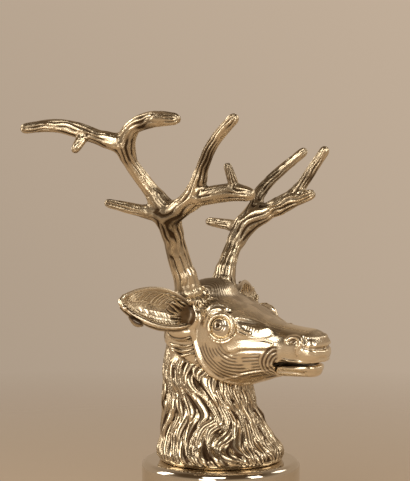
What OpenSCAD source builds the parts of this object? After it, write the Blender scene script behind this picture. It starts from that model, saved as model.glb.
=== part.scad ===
// Stag's head stirrup cup: a plain spun beaker that stands on its mouth, with a cast stag's
// head held on its closed end by a screw from inside. Millimetres, +Z up.
// The origin is the centre of the mouth, on the plane that the cup stands on.
// The stag looks along -Y and its left is +X. Places on the head are written
// [out, forward, up]: out from the middle plane, forward from the cup's axis, up from the eye line.

/* [Cup] */
// Outside diameter of the beaker
cup_d = 60; // [56:0.5:70]
// Height of the beaker from its mouth to its closed end
cup_h = 48; // [38:1:70]
// Thickness of the beaker's wall
cup_wall = 1.2; // [0.8:0.1:1.8]
// Thickness of the closed end
cup_end_t = 1.6; // [1:0.1:3]
// Outside radius of the corner round the closed end
cup_corner_r = 2.4; // [2:0.1:4]
// Height of the half-round wire soldered round the mouth
lip_wire_h = 2.4; // [1.6:0.1:4]

/* [Fixing] */
// Diameter of the fixing screw's shank
screw_d = 5; // [4:0.5:6]
// Diameter of the screw's domed head
screw_head_d = 10; // [8.5:0.5:12]
// Height of the screw's domed head
screw_head_h = 3.2; // [2.6:0.1:4.5]
// Width of the slot in the screw's head
screw_slot_w = 1.2; // [0.8:0.1:1.6]
// Depth of the slot in the screw's head
screw_slot_depth = 1.3; // [0.8:0.1:1.8]
// Length of the screw inside the base plate and its boss
screw_bite = 9; // [6:0.5:12]
// Outside diameter of the metal washer and of the seal under it
washer_d = 14; // [12.5:0.5:18]
// Thickness of the metal washer
washer_t = 0.8; // [0.5:0.1:1.5]
// Thickness of the leather sealing washer
seal_t = 1; // [0.6:0.1:2]
// Thickness of the plate let into the foot of the neck
plate_t = 3; // [2:0.5:5]
// Diameter of the plate's tapped boss
boss_d = 11; // [9:0.5:14]
// Height of the boss above the plate
boss_h = 8; // [6:0.5:12]
// Height between the end of the beaker's straight wall inside and the screw's head
plug_gap = 0.2; // [0.1:0.1:1]
// Gap all round the screw in the plain holes
screw_gap = 0.2; // [0.1:0.05:0.4]
// Gap all round a peg, tenon, shank or plate in its seat
fit_gap = 0.05; // [0.02:0.01:0.1]

/* [Neck] */
// Diameter of the neck where it stands on the cup
neck_foot_d = 47; // [43:0.5:52]
// Width of the neck from side to side, half-way up
neck_waist_w = 37; // [34:0.5:42]
// Length of the neck from throat to nape, half-way up
neck_waist_l = 39; // [38:0.5:46]
// Width of the neck where it meets the head
neck_top_w = 30; // [27:0.5:34]
// Length of the neck where it meets the head, along the joint
neck_top_l = 35.5; // [33:0.5:39]
// Thickness of the neck's wall
neck_wall = 2.4; // [1.6:0.1:3]
// Ledge of the neck's wall over the base plate
plate_ledge = 1; // [0.6:0.1:1.4]
// Height of the coat's main locks at their tips
lock_h = 1.3; // [0.8:0.1:1.8]
// Width of a main lock of the coat
lock_w = 8.5; // [7:0.5:11]
// Length of a main lock of the coat
lock_l = 9; // [7:0.5:12]

/* [Head] */
// Height of the eye line above the cup's closed end
head_rise = 50; // [46:0.5:58]
// Length of the head from the back of the skull to the nose
head_l = 66; // [62:0.5:72]
// Distance of the back of the skull behind the cup's axis
head_set_back = 21; // [19:0.5:24]
// Height of the top of the head above the eye line
poll_h = 17.5; // [15:0.5:20]
// Depth of the jaw below the eye line
jaw_drop = 21.5; // [19:0.5:24]
// Width of the head across the brows
brow_w = 35; // [31:0.5:38]
// Width of the muzzle
muzzle_w = 18; // [15:0.5:20]
// Thickness of the head's wall
head_wall = 2.2; // [1.6:0.1:3]
// Height of the joint between head and neck, below the eye line at its middle
joint_drop = 12.5; // [10:0.5:15]
// Distance of that joint's middle in front of the cup's axis
joint_forward = -5.2; // [-7:0.1:-4]
// Slope of that joint, higher at the nape
joint_tilt = 27; // [20:1:34]

/* [Mouth] */
// Distance of the mouth's corner in front of the cup's axis
mouth_forward = 27; // [25:0.5:29]
// Depth of the upper lip below the eye line at the mouth's corner
lip_drop = 10.4; // [9.5:0.1:11]
// Rise of the upper lip from the mouth's corner to the nose
lip_rise = 1.4; // [0.5:0.1:2]
// Opening between the lips at the mouth's corner
mouth_gap = 1; // [0.5:0.1:1.5]
// Thickness of the lower jaw at its root
jaw_t = 4.8; // [4.2:0.1:5]
// Length of the lower jaw
jaw_l = 15.5; // [13:0.5:17]
// Width of the lower jaw at its root
jaw_w = 14; // [12:0.5:15]
// Diameter of the lower jaw's peg
jaw_peg_d = 2.4; // [1.6:0.1:3]
// Length of the lower jaw's peg
jaw_peg_l = 4; // [3:0.5:6]

/* [Eyes] */
// Diameter of the domed eye
eye_d = 8.4; // [7:0.1:9.5]
// Height of the dome over its rim
eye_dome_h = 2.2; // [1.6:0.1:2.8]
// Diameter of the shank behind the eye
eye_shank_d = 5; // [4:0.1:6]
// Length of the shank behind the eye
eye_shank_l = 2.4; // [1.6:0.1:3]
// Width of the lid ring round the eye
lid_w = 1.3; // [0.8:0.1:1.8]
// Depth of the eye's seat inside the side of the head
eye_sink = 0.6; // [0.2:0.1:1.2]
// Distance of the eye in front of the cup's axis
eye_forward = 10; // [8:0.5:12]
// Height of the eye above the eye line
eye_up = 2.6; // [1:0.1:4]
// Turn of the eye towards the nose
eye_turn = 14; // [5:1:25]

/* [Ears] */
// Length of an ear from its seat to its tip
ear_l = 35; // [28:0.5:38]
// Width of an ear, laid flat
ear_w = 19; // [15:0.5:22]
// Thickness of an ear's leaf
ear_t = 1.5; // [1.2:0.1:2]
// Turn of an ear towards the nape
ear_sweep = 14; // [8:1:26]
// Rise of the left ear towards its tip
ear_rise_left = 5; // [0:1:20]
// Rise of the right ear towards its tip
ear_rise_right = 14; // [4:1:22]
// Turn of an ear's hollow up from straight ahead
ear_roll = 20; // [0:1:40]
// Distance of an ear's seat in front of the cup's axis
ear_forward = -4; // [-7:0.5:-2]
// Height of an ear's seat above the eye line
ear_up = 5.4; // [4:0.1:8]
// Distance of an ear's seat from the middle plane, beyond the side of the skull
ear_stand = 1; // [0.5:0.1:2]
// Diameter of an ear's root
ear_root_d = 8; // [7:0.5:10]
// Diameter of an ear's peg
ear_peg_d = 3.6; // [2.5:0.1:4.5]
// Length of an ear's peg
ear_peg_l = 3.6; // [3:0.1:4.5]

/* [Antlers] */
// Height of the tallest tine above the antler's seat
antler_h = 67; // [60:0.5:74]
// Diameter of an antler's beam above its foot
beam_d = 8.4; // [7:0.1:9.4]
// Diameter of the burr round an antler's foot
burr_d = 11; // [10:0.1:13]
// Height of the burr
burr_h = 2.2; // [1.5:0.1:3]
// Diameter of the pedicle that carries an antler
pedicle_d = 10; // [9:0.1:12]
// Distance of an antler's seat inside the widest place of the brows
pedicle_in = 5; // [4:0.5:6]
// Distance of an antler's seat in front of the cup's axis
pedicle_forward = -6.5; // [-8:0.5:-5]
// Height of an antler's seat above the eye line
pedicle_up = 13.5; // [12:0.5:15]
// Lean of an antler's foot away from the middle plane
pedicle_lean = 17; // [8:1:25]
// Diameter of an antler's tenon
tenon_d = 5; // [4:0.1:6]
// Length of an antler's tenon
tenon_l = 8; // [6:0.5:10]

/* [Hidden] */

$fn = 64;
turned_fn = 96;
bright_silver = [0.80, 0.76, 0.68];
worn_silver = [0.70, 0.64, 0.54];
antler_silver = [0.62, 0.56, 0.46];
steel = [0.60, 0.60, 0.60];
leather = [0.35, 0.22, 0.16];

left = 1;
right = -1;

// Length of a cut that runs right through, and how far any other cut runs past a face
reach = 80;
over = 1;

cup_r = cup_d / 2;
screw_hole_d = screw_d + 2 * screw_gap;
tapped_hole_d = screw_d + 2 * fit_gap;
end_inside_z = cup_h - cup_end_t;
washer_top_z = end_inside_z - seal_t;
screw_seat_z = washer_top_z - washer_t;
screw_top_z = cup_h + screw_bite;
screw_low_z = screw_seat_z - screw_head_h;
inside_corner_r = end_inside_z - screw_low_z + plug_gap;
plate_d = neck_foot_d - 2 * neck_wall + 2 * plate_ledge - 2 * fit_gap;
eye_line_z = cup_h + head_rise;
brow_round = 0.9;
hollow_from = 0.05;
hollow_to = 0.62;
neck_h = head_rise - joint_drop;

// Loops that shape the lofts
neck_sides = 64;
neck_rings = 22;
head_sides = 44;
head_rings = 40;
hollow_sides = 24;
hollow_rings = 18;
jaw_sides = 24;
jaw_rings = 10;
beam_sides = 10;
beam_steps = 4;
ear_steps = 16;
ear_cells = 10;

// Half angle of an ear's arc at its root and at its tip, and how far the arc lies behind the ear's axis
ear_curl_root = 105;
ear_curl_tip = 43;
ear_set_back = 0.3;

// How the main locks run on the neck: degrees that they turn over its height, degrees that they sway
// in waves, and the number of waves. Angles round the neck are measured from the throat's.
lock_turn = 10;
lock_sway = 9;
lock_waves = 1.4;
throat_angle = 270;
poll_angle = 90;

// Shares of the neck's height and of the head's length over which the locks grow out of plain metal
neck_lock_in = [0.02, 0.10];
neck_lock_out = [0.88, 0.98];
head_lock_in = [0.00, 0.05];
head_lock_out = [0.10, 0.14];

// Normal that an antler's rings start from, and the angles of the rings on its domed tip
bar_normal = [0.3, 0.2, 1];
tip_angles = [40, 72];

// Each row of the neck: share of its height, how far its middle moves towards the joint's,
// width, length and share of the joint's slope. The foot is straight as far as the base plate goes.
foot_share = (plate_t + plate_ledge) / neck_h;
neck_rows = [
    [0.00, 0.00, neck_foot_d, neck_foot_d, 0.00],
    [foot_share, 0.00, neck_foot_d, neck_foot_d, 0.00],
    [0.25, 0.30, 0.4 * neck_foot_d + 0.6 * neck_waist_w, 0.4 * neck_foot_d + 0.6 * neck_waist_l, 0.12],
    [0.42, 0.55, neck_waist_w, neck_waist_l, 0.28],
    [0.68, 0.96, 0.3 * neck_waist_w + 0.7 * neck_top_w, 0.2 * neck_waist_l + 0.8 * neck_top_l, 0.60],
    [1.00, 1.00, neck_top_w, neck_top_l, 1.00]
];

// Each row of the head: share of its length, top as a share of poll_h, bottom as a share of
// jaw_drop, half width, height of the widest place as a share of poll_h, and how round the section
// is below that place, from 0.5 for square to 1 for round.
head_rows = [
    [0.000, -0.05, -0.28, 0.2, -0.20, 0.60],
    [0.020,  0.28, -0.62, 0.25 * brow_w, -0.10, 0.60],
    [0.060,  0.55, -0.86, 0.36 * brow_w, 0.02, 0.60],
    [0.120,  0.80, -1.02, 0.42 * brow_w, 0.12, 0.60],
    [0.200,  0.96, -1.12, 0.445 * brow_w, 0.20, 0.62],
    [0.318,  0.88, -1.08, 0.47 * brow_w, 0.22, 0.68],
    [0.448,  0.61, -1.00, 0.50 * brow_w, 0.20, 0.78],
    [0.517,  0.50, -0.97, 0.48 * brow_w, 0.14, 0.84],
    [0.576,  0.39, -0.91, 0.42 * brow_w, 0.02, 0.90],
    [0.630,  0.30, -0.86, 0.37 * brow_w, -0.10, 0.90],
    [0.680,  0.225, -0.80, 0.17 * brow_w + 0.32 * muzzle_w, -0.20, 0.90],
    [0.750,  0.175, -0.76, 0.54 * muzzle_w, -0.27, 0.90],
    [0.840,  0.13, -0.73, 0.50 * muzzle_w, -0.28, 0.90],
    [0.925,  0.09, -0.68, 0.47 * muzzle_w, -0.27, 0.90],
    [0.974, -0.05, -0.60, 0.36 * muzzle_w, -0.25, 0.90],
    [1.000, -0.20, -0.30, 0.4, -0.24, 0.90]
];

// Each row of the lower jaw: share of its length, top and bottom as shares of its thickness, half width.
jaw_rows = [
    [0.00,  0.00, -1.00, 0.50 * jaw_w],
    [0.35, -0.02, -0.96, 0.46 * jaw_w],
    [0.70, -0.06, -0.92, 0.40 * jaw_w],
    [0.90, -0.12, -0.84, 0.29 * jaw_w],
    [1.00, -0.42, -0.58, 0.05 * jaw_w]
];

// Points of the antlers: out, forward and up in hundredths of antler_h from the seat, then the
// radius in hundredths of beam_d. A branch starts inside the one that carries it.
right_beam = [[0, 0, 0, 56], [3, -1, 9, 52], [7, -3, 22, 50], [13, -3, 35, 46], [20, -2, 45, 47]];
right_branches = [
    [[20, -2, 45, 42], [23, -8, 46, 38], [26, -17, 47.5, 29], [30.5, -33, 51, 22]],
    [[20, -2, 45, 46], [22.5, -7, 54, 38], [27, -13, 64, 34], [32, -18, 74, 33], [36.5, -19, 83, 36]],
    [[36.5, -19, 83, 34], [38, -15, 90, 33], [39.5, -8, 94.5, 36], [42.5, 5, 97, 37], [44, 18, 97, 27]],
    [[36.5, -19, 83, 34], [42, -28, 86, 33], [50, -39.5, 91, 36], [56, -51.5, 93.5, 30], [62, -66, 92, 24]],
    [[48, -36, 89, 27], [52, -37, 85, 24], [55, -38, 81, 21]],
    [[20, -2, 45, 44], [23, 9, 49, 38], [25.5, 18, 54, 40]],
    [[25.5, 18, 54, 34], [29, 25, 69, 29], [33, 34.5, 84, 27], [36.5, 49, 97, 25]],
    [[25.5, 18, 54, 38], [27.5, 32, 57, 41], [28.5, 45, 58.5, 40], [27.5, 53, 57.5, 32]],
    [[28.5, 46, 59, 24], [30.5, 44.5, 66, 22], [32, 43, 72, 19]]
];
left_beam = [[0, 0, 0, 54], [2, 0, 6, 48], [5, 0.5, 14.5, 43], [12, 1, 25, 39], [18.5, 4, 35, 42],
             [25.5, 8.5, 46, 40]];
left_branches = [
    [[16, 2.5, 32, 34], [19, -4, 35, 30], [20.5, -11, 36, 26], [21.5, -21.5, 37, 21]],
    [[20, 5, 38, 40], [25, 14, 43, 43], [27.5, 25.5, 48.5, 39], [28.5, 42, 54, 26]],
    [[27.5, 26, 48, 32], [29.5, 31, 53, 29], [32, 38.5, 64.5, 27], [35, 47.5, 79, 25]],
    [[25.5, 8.5, 46, 38], [30, 7, 53, 32], [41, 12, 64, 27], [52, 25, 78, 24]]
];

// Small vector helpers
function unit(v) = v / norm(v);
function mean(points) = sum(points) / len(points);
function sum(list, i = 0) = i == len(list) - 1 ? list[i] : list[i] + sum(list, i + 1);
function power(v, e) = sign(v) * pow(abs(v), e);

// Smooth step from 0 at the first of two limits to 1 at the second
function ramp(limits, v) =
    let (t = max(0, min(1, (v - limits[0]) / (limits[1] - limits[0])))) t * t * (3 - 2 * t);

// Angle between two directions, from 0 to 180
function turn_from(a, b) = let (gap = abs(a - b)) min(gap, 360 - gap);

// Height of the main locks at a place counted in locks across and along: a lock rises to its tip,
// and each row lies half a lock round from the next
function lock_rise(across, along) =
    let (row = floor(along), tip = 1 - (along - row))
    lock_h * (0.3 + 0.7 * tip) * abs(sin(180 * (across + 0.5 * (row % 2))));

// Smooth value of a table at share s: the first column holds the shares
function slope(rows, i) =
    let (a = max(i - 1, 0), b = min(i + 1, len(rows) - 1)) (rows[b] - rows[a]) / (rows[b][0] - rows[a][0]);
function row_at(rows, s) =
    let (
        i = max([for (k = [0 : len(rows) - 2]) if (rows[k][0] <= s) k]),
        h = rows[i + 1][0] - rows[i][0],
        t = (s - rows[i][0]) / h
    )
    (2 * t * t * t - 3 * t * t + 1) * rows[i] + (t * t * t - 2 * t * t + t) * h * slope(rows, i)
    + (3 * t * t - 2 * t * t * t) * rows[i + 1] + (t * t * t - t * t) * h * slope(rows, i + 1);

// Place of a head point [out, forward, up] on the stag's side given
function on_head(p, side = left) = [side * p[0], -p[1], eye_line_z + p[2]];

// Height of the locks on the back of the head at share s and angle a
function head_lock(s, a) =
    lock_rise(PI * brow_w / lock_w * turn_from(a, poll_angle) / 360, 2 * s * head_l / lock_l)
    * ramp(head_lock_in, s) * (1 - ramp(head_lock_out, s));

// One ring of the head at share s, drawn in by inset on every side, or with its locks where it isn't
function head_ring(s, sides, inset = 0) =
    let (
        row = row_at(head_rows, s),
        forward = -head_set_back + s * head_l,
        wide_up = row[4] * poll_h,
        rise = row[1] * poll_h - wide_up,
        drop = wide_up - row[2] * jaw_drop
    )
    [for (k = [0 : sides - 1])
        let (
            a = 360 * k / sides,
            round = sin(a) > 0 ? brow_round : row[5],
            grow = inset > 0 ? -inset : head_lock(s, a),
            u = power(sin(a), round) * ((sin(a) > 0 ? rise : drop) + grow)
        )
        on_head([(row[3] + grow) * power(cos(a), round), forward, wide_up + u])];

// Half width of the head at a place in front of the cup's axis
function head_half_w(forward) = row_at(head_rows, (forward + head_set_back) / head_l)[3];

// Height of the locks on the neck at share s and angle a, alike on both sides of the throat
function neck_lock(s, a) =
    let (
        around = turn_from(a, throat_angle),
        turn = (lock_turn * s + lock_sway * sin(360 * lock_waves * s)) * sin(around)
    )
    lock_rise(PI * neck_waist_l / lock_w * (around - turn) / 360, s * neck_h / lock_l)
    * ramp(neck_lock_in, s) * (1 - ramp(neck_lock_out, s));

// One ring of the neck at share s, drawn in by inset on every side, or with its locks where it isn't
function neck_ring(s, sides, inset = 0) =
    let (row = row_at(neck_rows, s), tilt = row[4] * joint_tilt)
    [for (k = [0 : sides - 1])
        let (
            a = 360 * k / sides,
            grow = inset > 0 ? -inset : neck_lock(s, a),
            across = (row[2] / 2 + grow) * cos(a),
            along = (row[3] / 2 + grow) * sin(a)
        )
        [across, -row[1] * joint_forward + along * cos(tilt), cup_h + row[0] * neck_h + along * sin(tilt)]];

// Solid through rings of equal count, each counter-clockwise seen from the last ring's end
module loft(rings) {
    n = len(rings[0]);
    m = len(rings);
    sides = [for (k = [0 : m - 2], j = [0 : n - 1])
        let (a = k * n + j, b = k * n + (j + 1) % n) each [[a, a + n, b + n], [a, b + n, b]]];
    start_cap = [for (j = [0 : n - 1]) [m * n, j, (j + 1) % n]];
    end_cap = [for (j = [0 : n - 1]) [m * n + 1, (m - 1) * n + (j + 1) % n, (m - 1) * n + j]];
    points = concat([for (ring = rings) each ring], [mean(rings[0]), mean(rings[m - 1])]);
    polyhedron(points, concat(start_cap, sides, end_cap));
}

// Shell between an outer and an inner stack of rings of equal count, open at both ends
module open_shell(outer, inner) {
    n = len(outer[0]);
    m = len(outer);
    walls = [for (k = [0 : m - 2], j = [0 : n - 1])
        let (a = k * n + j, b = k * n + (j + 1) % n, c = a + m * n, d = b + m * n)
        each [[a, a + n, b + n], [a, b + n, b], [c, d + n, c + n], [c, d, d + n]]];
    rims = [for (j = [0 : n - 1])
        let (a = j, b = (j + 1) % n, c = a + m * n, d = b + m * n, top = (m - 1) * n)
        each [[a, b, d], [a, d, c], [a + top, d + top, b + top], [a + top, c + top, d + top]]];
    polyhedron([for (ring = concat(outer, inner)) each ring], concat(walls, rims));
}

// Block across the head under an outline in [forward, up]
module across_head(outline) {
    translate([0, 0, eye_line_z]) rotate([90, 0, -90])
        linear_extrude(reach, center = true) polygon(outline);
}

// Frame at a head place whose +Z points along an axis [out, forward, up]
module along(place, axis, side = left) {
    p = on_head(place, side);
    d = unit([side * axis[0], -axis[1], axis[2]]);
    translate(p) rotate([0, acos(d[2]), atan2(d[1], d[0])]) children();
}

// Places and axes of what is set into the head
pedicle_out = brow_w / 2 - pedicle_in;
eye_place = [head_half_w(eye_forward) - eye_sink, eye_forward, eye_up];
eye_axis = [cos(eye_turn), sin(eye_turn), 0.1];
ear_place = [head_half_w(ear_forward) + ear_stand, ear_forward, ear_up];
function ear_axis(rise) = [cos(ear_sweep) * cos(rise), -sin(ear_sweep) * cos(rise), sin(rise)];
function ear_rise(side) = side == left ? ear_rise_left : ear_rise_right;
pedicle_place = [pedicle_out, pedicle_forward, pedicle_up];
pedicle_axis = [sin(pedicle_lean), 0, cos(pedicle_lean)];
jaw_top = -lip_drop - mouth_gap;
jaw_peg_up = jaw_top - 0.5 * jaw_t;

// Half profile of a beaker with a rounded corner at its closed end
module beaker_profile(r, h, corner) {
    square([r - corner, h]);
    square([r, h - corner]);
    translate([r - corner, h - corner]) circle(corner);
}

module cup_body() {
    color(bright_silver) difference() {
        rotate_extrude($fn = turned_fn) difference() {
            beaker_profile(cup_r, cup_h, cup_corner_r);
            beaker_profile(cup_r - cup_wall, end_inside_z, inside_corner_r);
        }
        translate([0, 0, end_inside_z - over]) cylinder(d = screw_hole_d, h = cup_end_t + 2 * over);
    }
}

module lip_wire() {
    color(bright_silver) rotate_extrude($fn = turned_fn) intersection() {
        translate([cup_r, lip_wire_h / 2]) circle(lip_wire_h / 2);
        translate([cup_r, 0]) square([lip_wire_h, lip_wire_h]);
    }
}

// Flat ring with the screw's clearance hole, from height z up
module ring_washer(z, t) {
    translate([0, 0, z]) difference() {
        cylinder(d = washer_d, h = t);
        translate([0, 0, -over]) cylinder(d = screw_hole_d, h = t + 2 * over);
    }
}

module sealing_washer() {
    color(leather) ring_washer(washer_top_z, seal_t);
}

module fixing_washer() {
    color(steel) ring_washer(screw_seat_z, washer_t);
}

module fixing_screw() {
    dome_r = (pow(screw_head_d / 2, 2) + pow(screw_head_h, 2)) / (2 * screw_head_h);
    color(steel) difference() {
        union() {
            translate([0, 0, screw_seat_z]) cylinder(d = screw_d, h = screw_top_z - screw_seat_z);
            intersection() {
                translate([0, 0, screw_low_z + dome_r]) sphere(dome_r);
                translate([0, 0, screw_seat_z - 2 * screw_head_h])
                    cylinder(d = screw_head_d, h = 2 * screw_head_h);
            }
        }
        translate([-screw_head_d, -screw_slot_w / 2, screw_low_z - over])
            cube([2 * screw_head_d, screw_slot_w, screw_slot_depth + over]);
    }
}

module neck_base_plate() {
    color(worn_silver) difference() {
        union() {
            translate([0, 0, cup_h]) cylinder(d = plate_d, h = plate_t - fit_gap);
            translate([0, 0, cup_h]) cylinder(d = boss_d, h = plate_t + boss_h);
        }
        translate([0, 0, cup_h - over]) cylinder(d = tapped_hole_d, h = plate_t + boss_h + 2 * over);
    }
}

module neck_shell() {
    shares = [for (k = [0 : neck_rings]) k / neck_rings];
    color(worn_silver) difference() {
        open_shell([for (s = shares) neck_ring(s, neck_sides)],
                   [for (s = shares) neck_ring(s, neck_sides, neck_wall)]);
        translate([0, 0, cup_h - over]) cylinder(d = plate_d + 2 * fit_gap, h = plate_t + over);
    }
}

// Boss down from a seat round a socket of length l, and up past it by a rim
module boss(d, l, rim = 0) {
    translate([0, 0, -l - head_wall]) cylinder(d = d, h = l + head_wall + rim);
}

// Everything of the head that is cast: the hollow loft, its bosses and the cut-away mouth
module head_casting() {
    joint_run = reach * tan(joint_tilt);
    nose = -head_set_back + head_l;
    difference() {
        union() {
            difference() {
                loft([for (k = [0 : head_rings]) head_ring(k / head_rings, head_sides)]);
                loft([for (k = [0 : hollow_rings])
                    let (s = hollow_from + (hollow_to - hollow_from) * k / hollow_rings)
                    head_ring(s, hollow_sides, head_wall)]);
            }
            for (side = [left, right]) {
                along(pedicle_place, pedicle_axis, side) boss(pedicle_d, tenon_l);
                along(ear_place, ear_axis(ear_rise(side)), side) boss(ear_root_d, ear_peg_l);
                along(eye_place, eye_axis, side) boss(eye_d + 2 * lid_w, eye_shank_l, lid_w);
            }
        }
        across_head([[joint_forward - reach, -joint_drop + joint_run],
                     [joint_forward + reach, -joint_drop - joint_run],
                     [joint_forward + reach, -2 * reach],
                     [joint_forward - reach, -2 * reach]]);
        across_head([[mouth_forward, -lip_drop], [nose, -lip_drop + lip_rise],
                     [reach, -lip_drop + 2 * lip_rise], [reach, -reach], [mouth_forward, -reach]]);
    }
}

// Blind hole down from a seat for a peg of the given size
module socket(d, l) {
    translate([0, 0, -l - fit_gap]) cylinder(d = d + 2 * fit_gap, h = l + fit_gap + over);
}

module head_shell() {
    color(worn_silver) difference() {
        resize([0, 0, 0]) head_casting();
        for (side = [left, right]) {
            along(pedicle_place, pedicle_axis, side)
                socket(tenon_d, tenon_l);
            along(ear_place, ear_axis(ear_rise(side)), side)
                socket(ear_peg_d, ear_peg_l);
            along(eye_place, eye_axis, side) {
                socket(eye_shank_d, eye_shank_l);
                cylinder(d = eye_d + 2 * fit_gap, h = lid_w + over);
            }
        }
        along([0, mouth_forward, jaw_peg_up], [0, 1, 0], left)
            socket(jaw_peg_d, jaw_peg_l);
    }
}

// The jaw is flatter on top than underneath
jaw_side_round = 0.8;
function jaw_round(a) = sin(a) > 0 ? 0.5 : 0.9;

module lower_jaw() {
    rings = [for (k = [0 : jaw_rings])
        let (
            row = row_at(jaw_rows, k / jaw_rings),
            forward = mouth_forward + jaw_l * k / jaw_rings,
            middle = jaw_top + jaw_t * (row[1] + row[2]) / 2,
            half_t = jaw_t * (row[1] - row[2]) / 2
        )
        [for (j = [0 : jaw_sides - 1])
            let (a = 360 * j / jaw_sides, u = power(sin(a), jaw_round(a)))
            on_head([row[3] * power(cos(a), jaw_side_round), forward, middle + half_t * u])]];
    color(worn_silver) union() {
        loft(rings);
        along([0, mouth_forward, jaw_peg_up], [0, 1, 0], left)
            translate([0, 0, -jaw_peg_l]) cylinder(d = jaw_peg_d, h = jaw_peg_l + 0.25 * jaw_l);
    }
}

module eye(side) {
    dome_r = (pow(eye_d / 2, 2) + pow(eye_dome_h, 2)) / (2 * eye_dome_h);
    rim_h = lid_w / 2;
    color(bright_silver) along(eye_place, eye_axis, side) {
        translate([0, 0, -eye_shank_l]) cylinder(d = eye_shank_d, h = eye_shank_l + rim_h);
        intersection() {
            translate([0, 0, rim_h + eye_dome_h - dome_r]) sphere(dome_r);
            cylinder(d = eye_d, h = rim_h + 2 * eye_dome_h);
        }
    }
}

module eye_left() { eye(left); }
module eye_right() { eye(right); }

// One ring round the ear's leaf at share s, in its own frame: an arc that opens towards the tip
function ear_ring(s) =
    let (
        leaf = ear_w / 2 * pow(sin(180 * pow(0.09 + 0.9 * s, 0.75)), 0.8),
        curl = ear_curl_root + (ear_curl_tip - ear_curl_root) * s,
        r = leaf * 180 / (PI * curl),
        angles = [for (k = [0 : ear_cells]) -curl + 2 * curl * k / ear_cells],
        back = [for (a = angles) [(r + ear_t) * sin(a), r - (r + ear_t) * cos(a)]],
        hollow = [for (k = [ear_cells : -1 : 0]) [r * sin(angles[k]), r - r * cos(angles[k])]]
    )
    [for (p = concat(back, hollow)) [-p[0], ear_set_back * leaf - p[1], ear_t + s * (ear_l - ear_t)]];

// The leaf of an ear along +Z, its hollow towards -Y of its own frame
module ear_leaf() {
    rings = [for (k = [0 : ear_steps]) ear_ring(k / ear_steps)];
    n = len(rings[0]);
    end = ear_steps * n;
    walls = [for (k = [0 : ear_steps - 1], j = [0 : n - 1])
        let (a = k * n + j, b = k * n + (j + 1) % n) each [[a, a + n, b + n], [a, b + n, b]]];
    caps = [for (j = [0 : ear_cells - 1])
        let (a = j, b = j + 1, c = n - 2 - j, d = n - 1 - j)
        each [[a, b, c], [a, c, d], [a + end, c + end, b + end], [a + end, d + end, c + end]]];
    polyhedron([for (ring = rings) each ring], concat(walls, caps));
}

// An ear on the left side
module ear(rise) {
    along(ear_place, ear_axis(rise)) {
        rotate([0, 0, -ear_roll]) ear_leaf();
        cylinder(d = ear_root_d, h = 2 * ear_t);
        translate([0, 0, -ear_peg_l]) cylinder(d = ear_peg_d, h = ear_peg_l + ear_t);
    }
}

module ear_left() { color(worn_silver) ear(ear_rise_left); }
module ear_right() { color(worn_silver) mirror([1, 0, 0]) ear(ear_rise_right); }

// Smooth path through points with a radius in the last column
function path_slope(points, i) = (points[min(i + 1, len(points) - 1)] - points[max(i - 1, 0)]) / 2;
function smooth_path(points, steps) = [
    for (i = [0 : len(points) - 2], k = [0 : steps - 1])
        let (t = k / steps)
        (2 * t * t * t - 3 * t * t + 1) * points[i] + (t * t * t - 2 * t * t + t) * path_slope(points, i)
        + (3 * t * t - 2 * t * t * t) * points[i + 1] + (t * t * t - t * t) * path_slope(points, i + 1),
    points[len(points) - 1]
];

// Directions along a path, and a normal carried along them without twist
function directions(path) = [for (i = [0 : len(path) - 1])
    unit(path[min(i + 1, len(path) - 1)] - path[max(i - 1, 0)])];
function carried(ways, normal, i = 0) =
    i == len(ways) ? [] :
    let (n = unit(normal - (normal * ways[i]) * ways[i])) concat([n], carried(ways, n, i + 1));

// Round bar along antler points with a blunt, domed tip
module antler_bar(points, side) {
    scaled = [for (p = points)
        concat(on_head(pedicle_place + [p[0], p[1], p[2]] * antler_h / 100, side), [p[3] * beam_d / 100])];
    path = smooth_path(scaled, beam_steps);
    last = len(path) - 1;
    places = [for (p = path) [p[0], p[1], p[2]]];
    ways = directions(places);
    normals = carried(ways, bar_normal);
    tip_r = path[last][3];
    function bar_ring(centre, r, way, normal) = [for (k = [0 : beam_sides - 1])
        let (a = 360 * k / beam_sides) centre + r * (cos(a) * normal + sin(a) * cross(way, normal))];
    loft(concat(
        [for (i = [0 : last]) bar_ring(places[i], path[i][3], ways[i], normals[i])],
        [for (a = tip_angles)
            bar_ring(places[last] + tip_r * sin(a) * ways[last], tip_r * cos(a), ways[last], normals[last])]
    ));
}

module antler(beam, branches, side) {
    color(antler_silver) union() {
        difference() {
            resize([0, 0, 0]) union() {
                antler_bar(beam, side);
                for (branch = branches) antler_bar(branch, side);
            }
            along(pedicle_place, pedicle_axis, side)
                translate([0, 0, -burr_d]) cylinder(d = 3 * burr_d, h = burr_d);
        }
        along(pedicle_place, pedicle_axis, side) {
            cylinder(d = burr_d, h = burr_h);
            translate([0, 0, -tenon_l]) cylinder(d = tenon_d, h = tenon_l + burr_h / 2);
        }
    }
}

module antler_left() { antler(left_beam, left_branches, left); }
module antler_right() { antler(right_beam, right_branches, right); }

cup_body();
lip_wire();
sealing_washer();
fixing_washer();
fixing_screw();
neck_base_plate();
neck_shell();
head_shell();
lower_jaw();
eye_left();
eye_right();
ear_left();
ear_right();
antler_left();
antler_right();
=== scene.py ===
"""Dresses the stag's head stirrup cup.

The castings are carved from the CAD solids, the coat is laid over the neck and the back of the head
as chased locks, and a plain studio lights the cup. Lengths are millimetres until a mesh is made.
"""
import logging
import math
from dataclasses import dataclass, field
from enum import Enum
from typing import Any, Iterable, Iterator, Sequence

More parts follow.
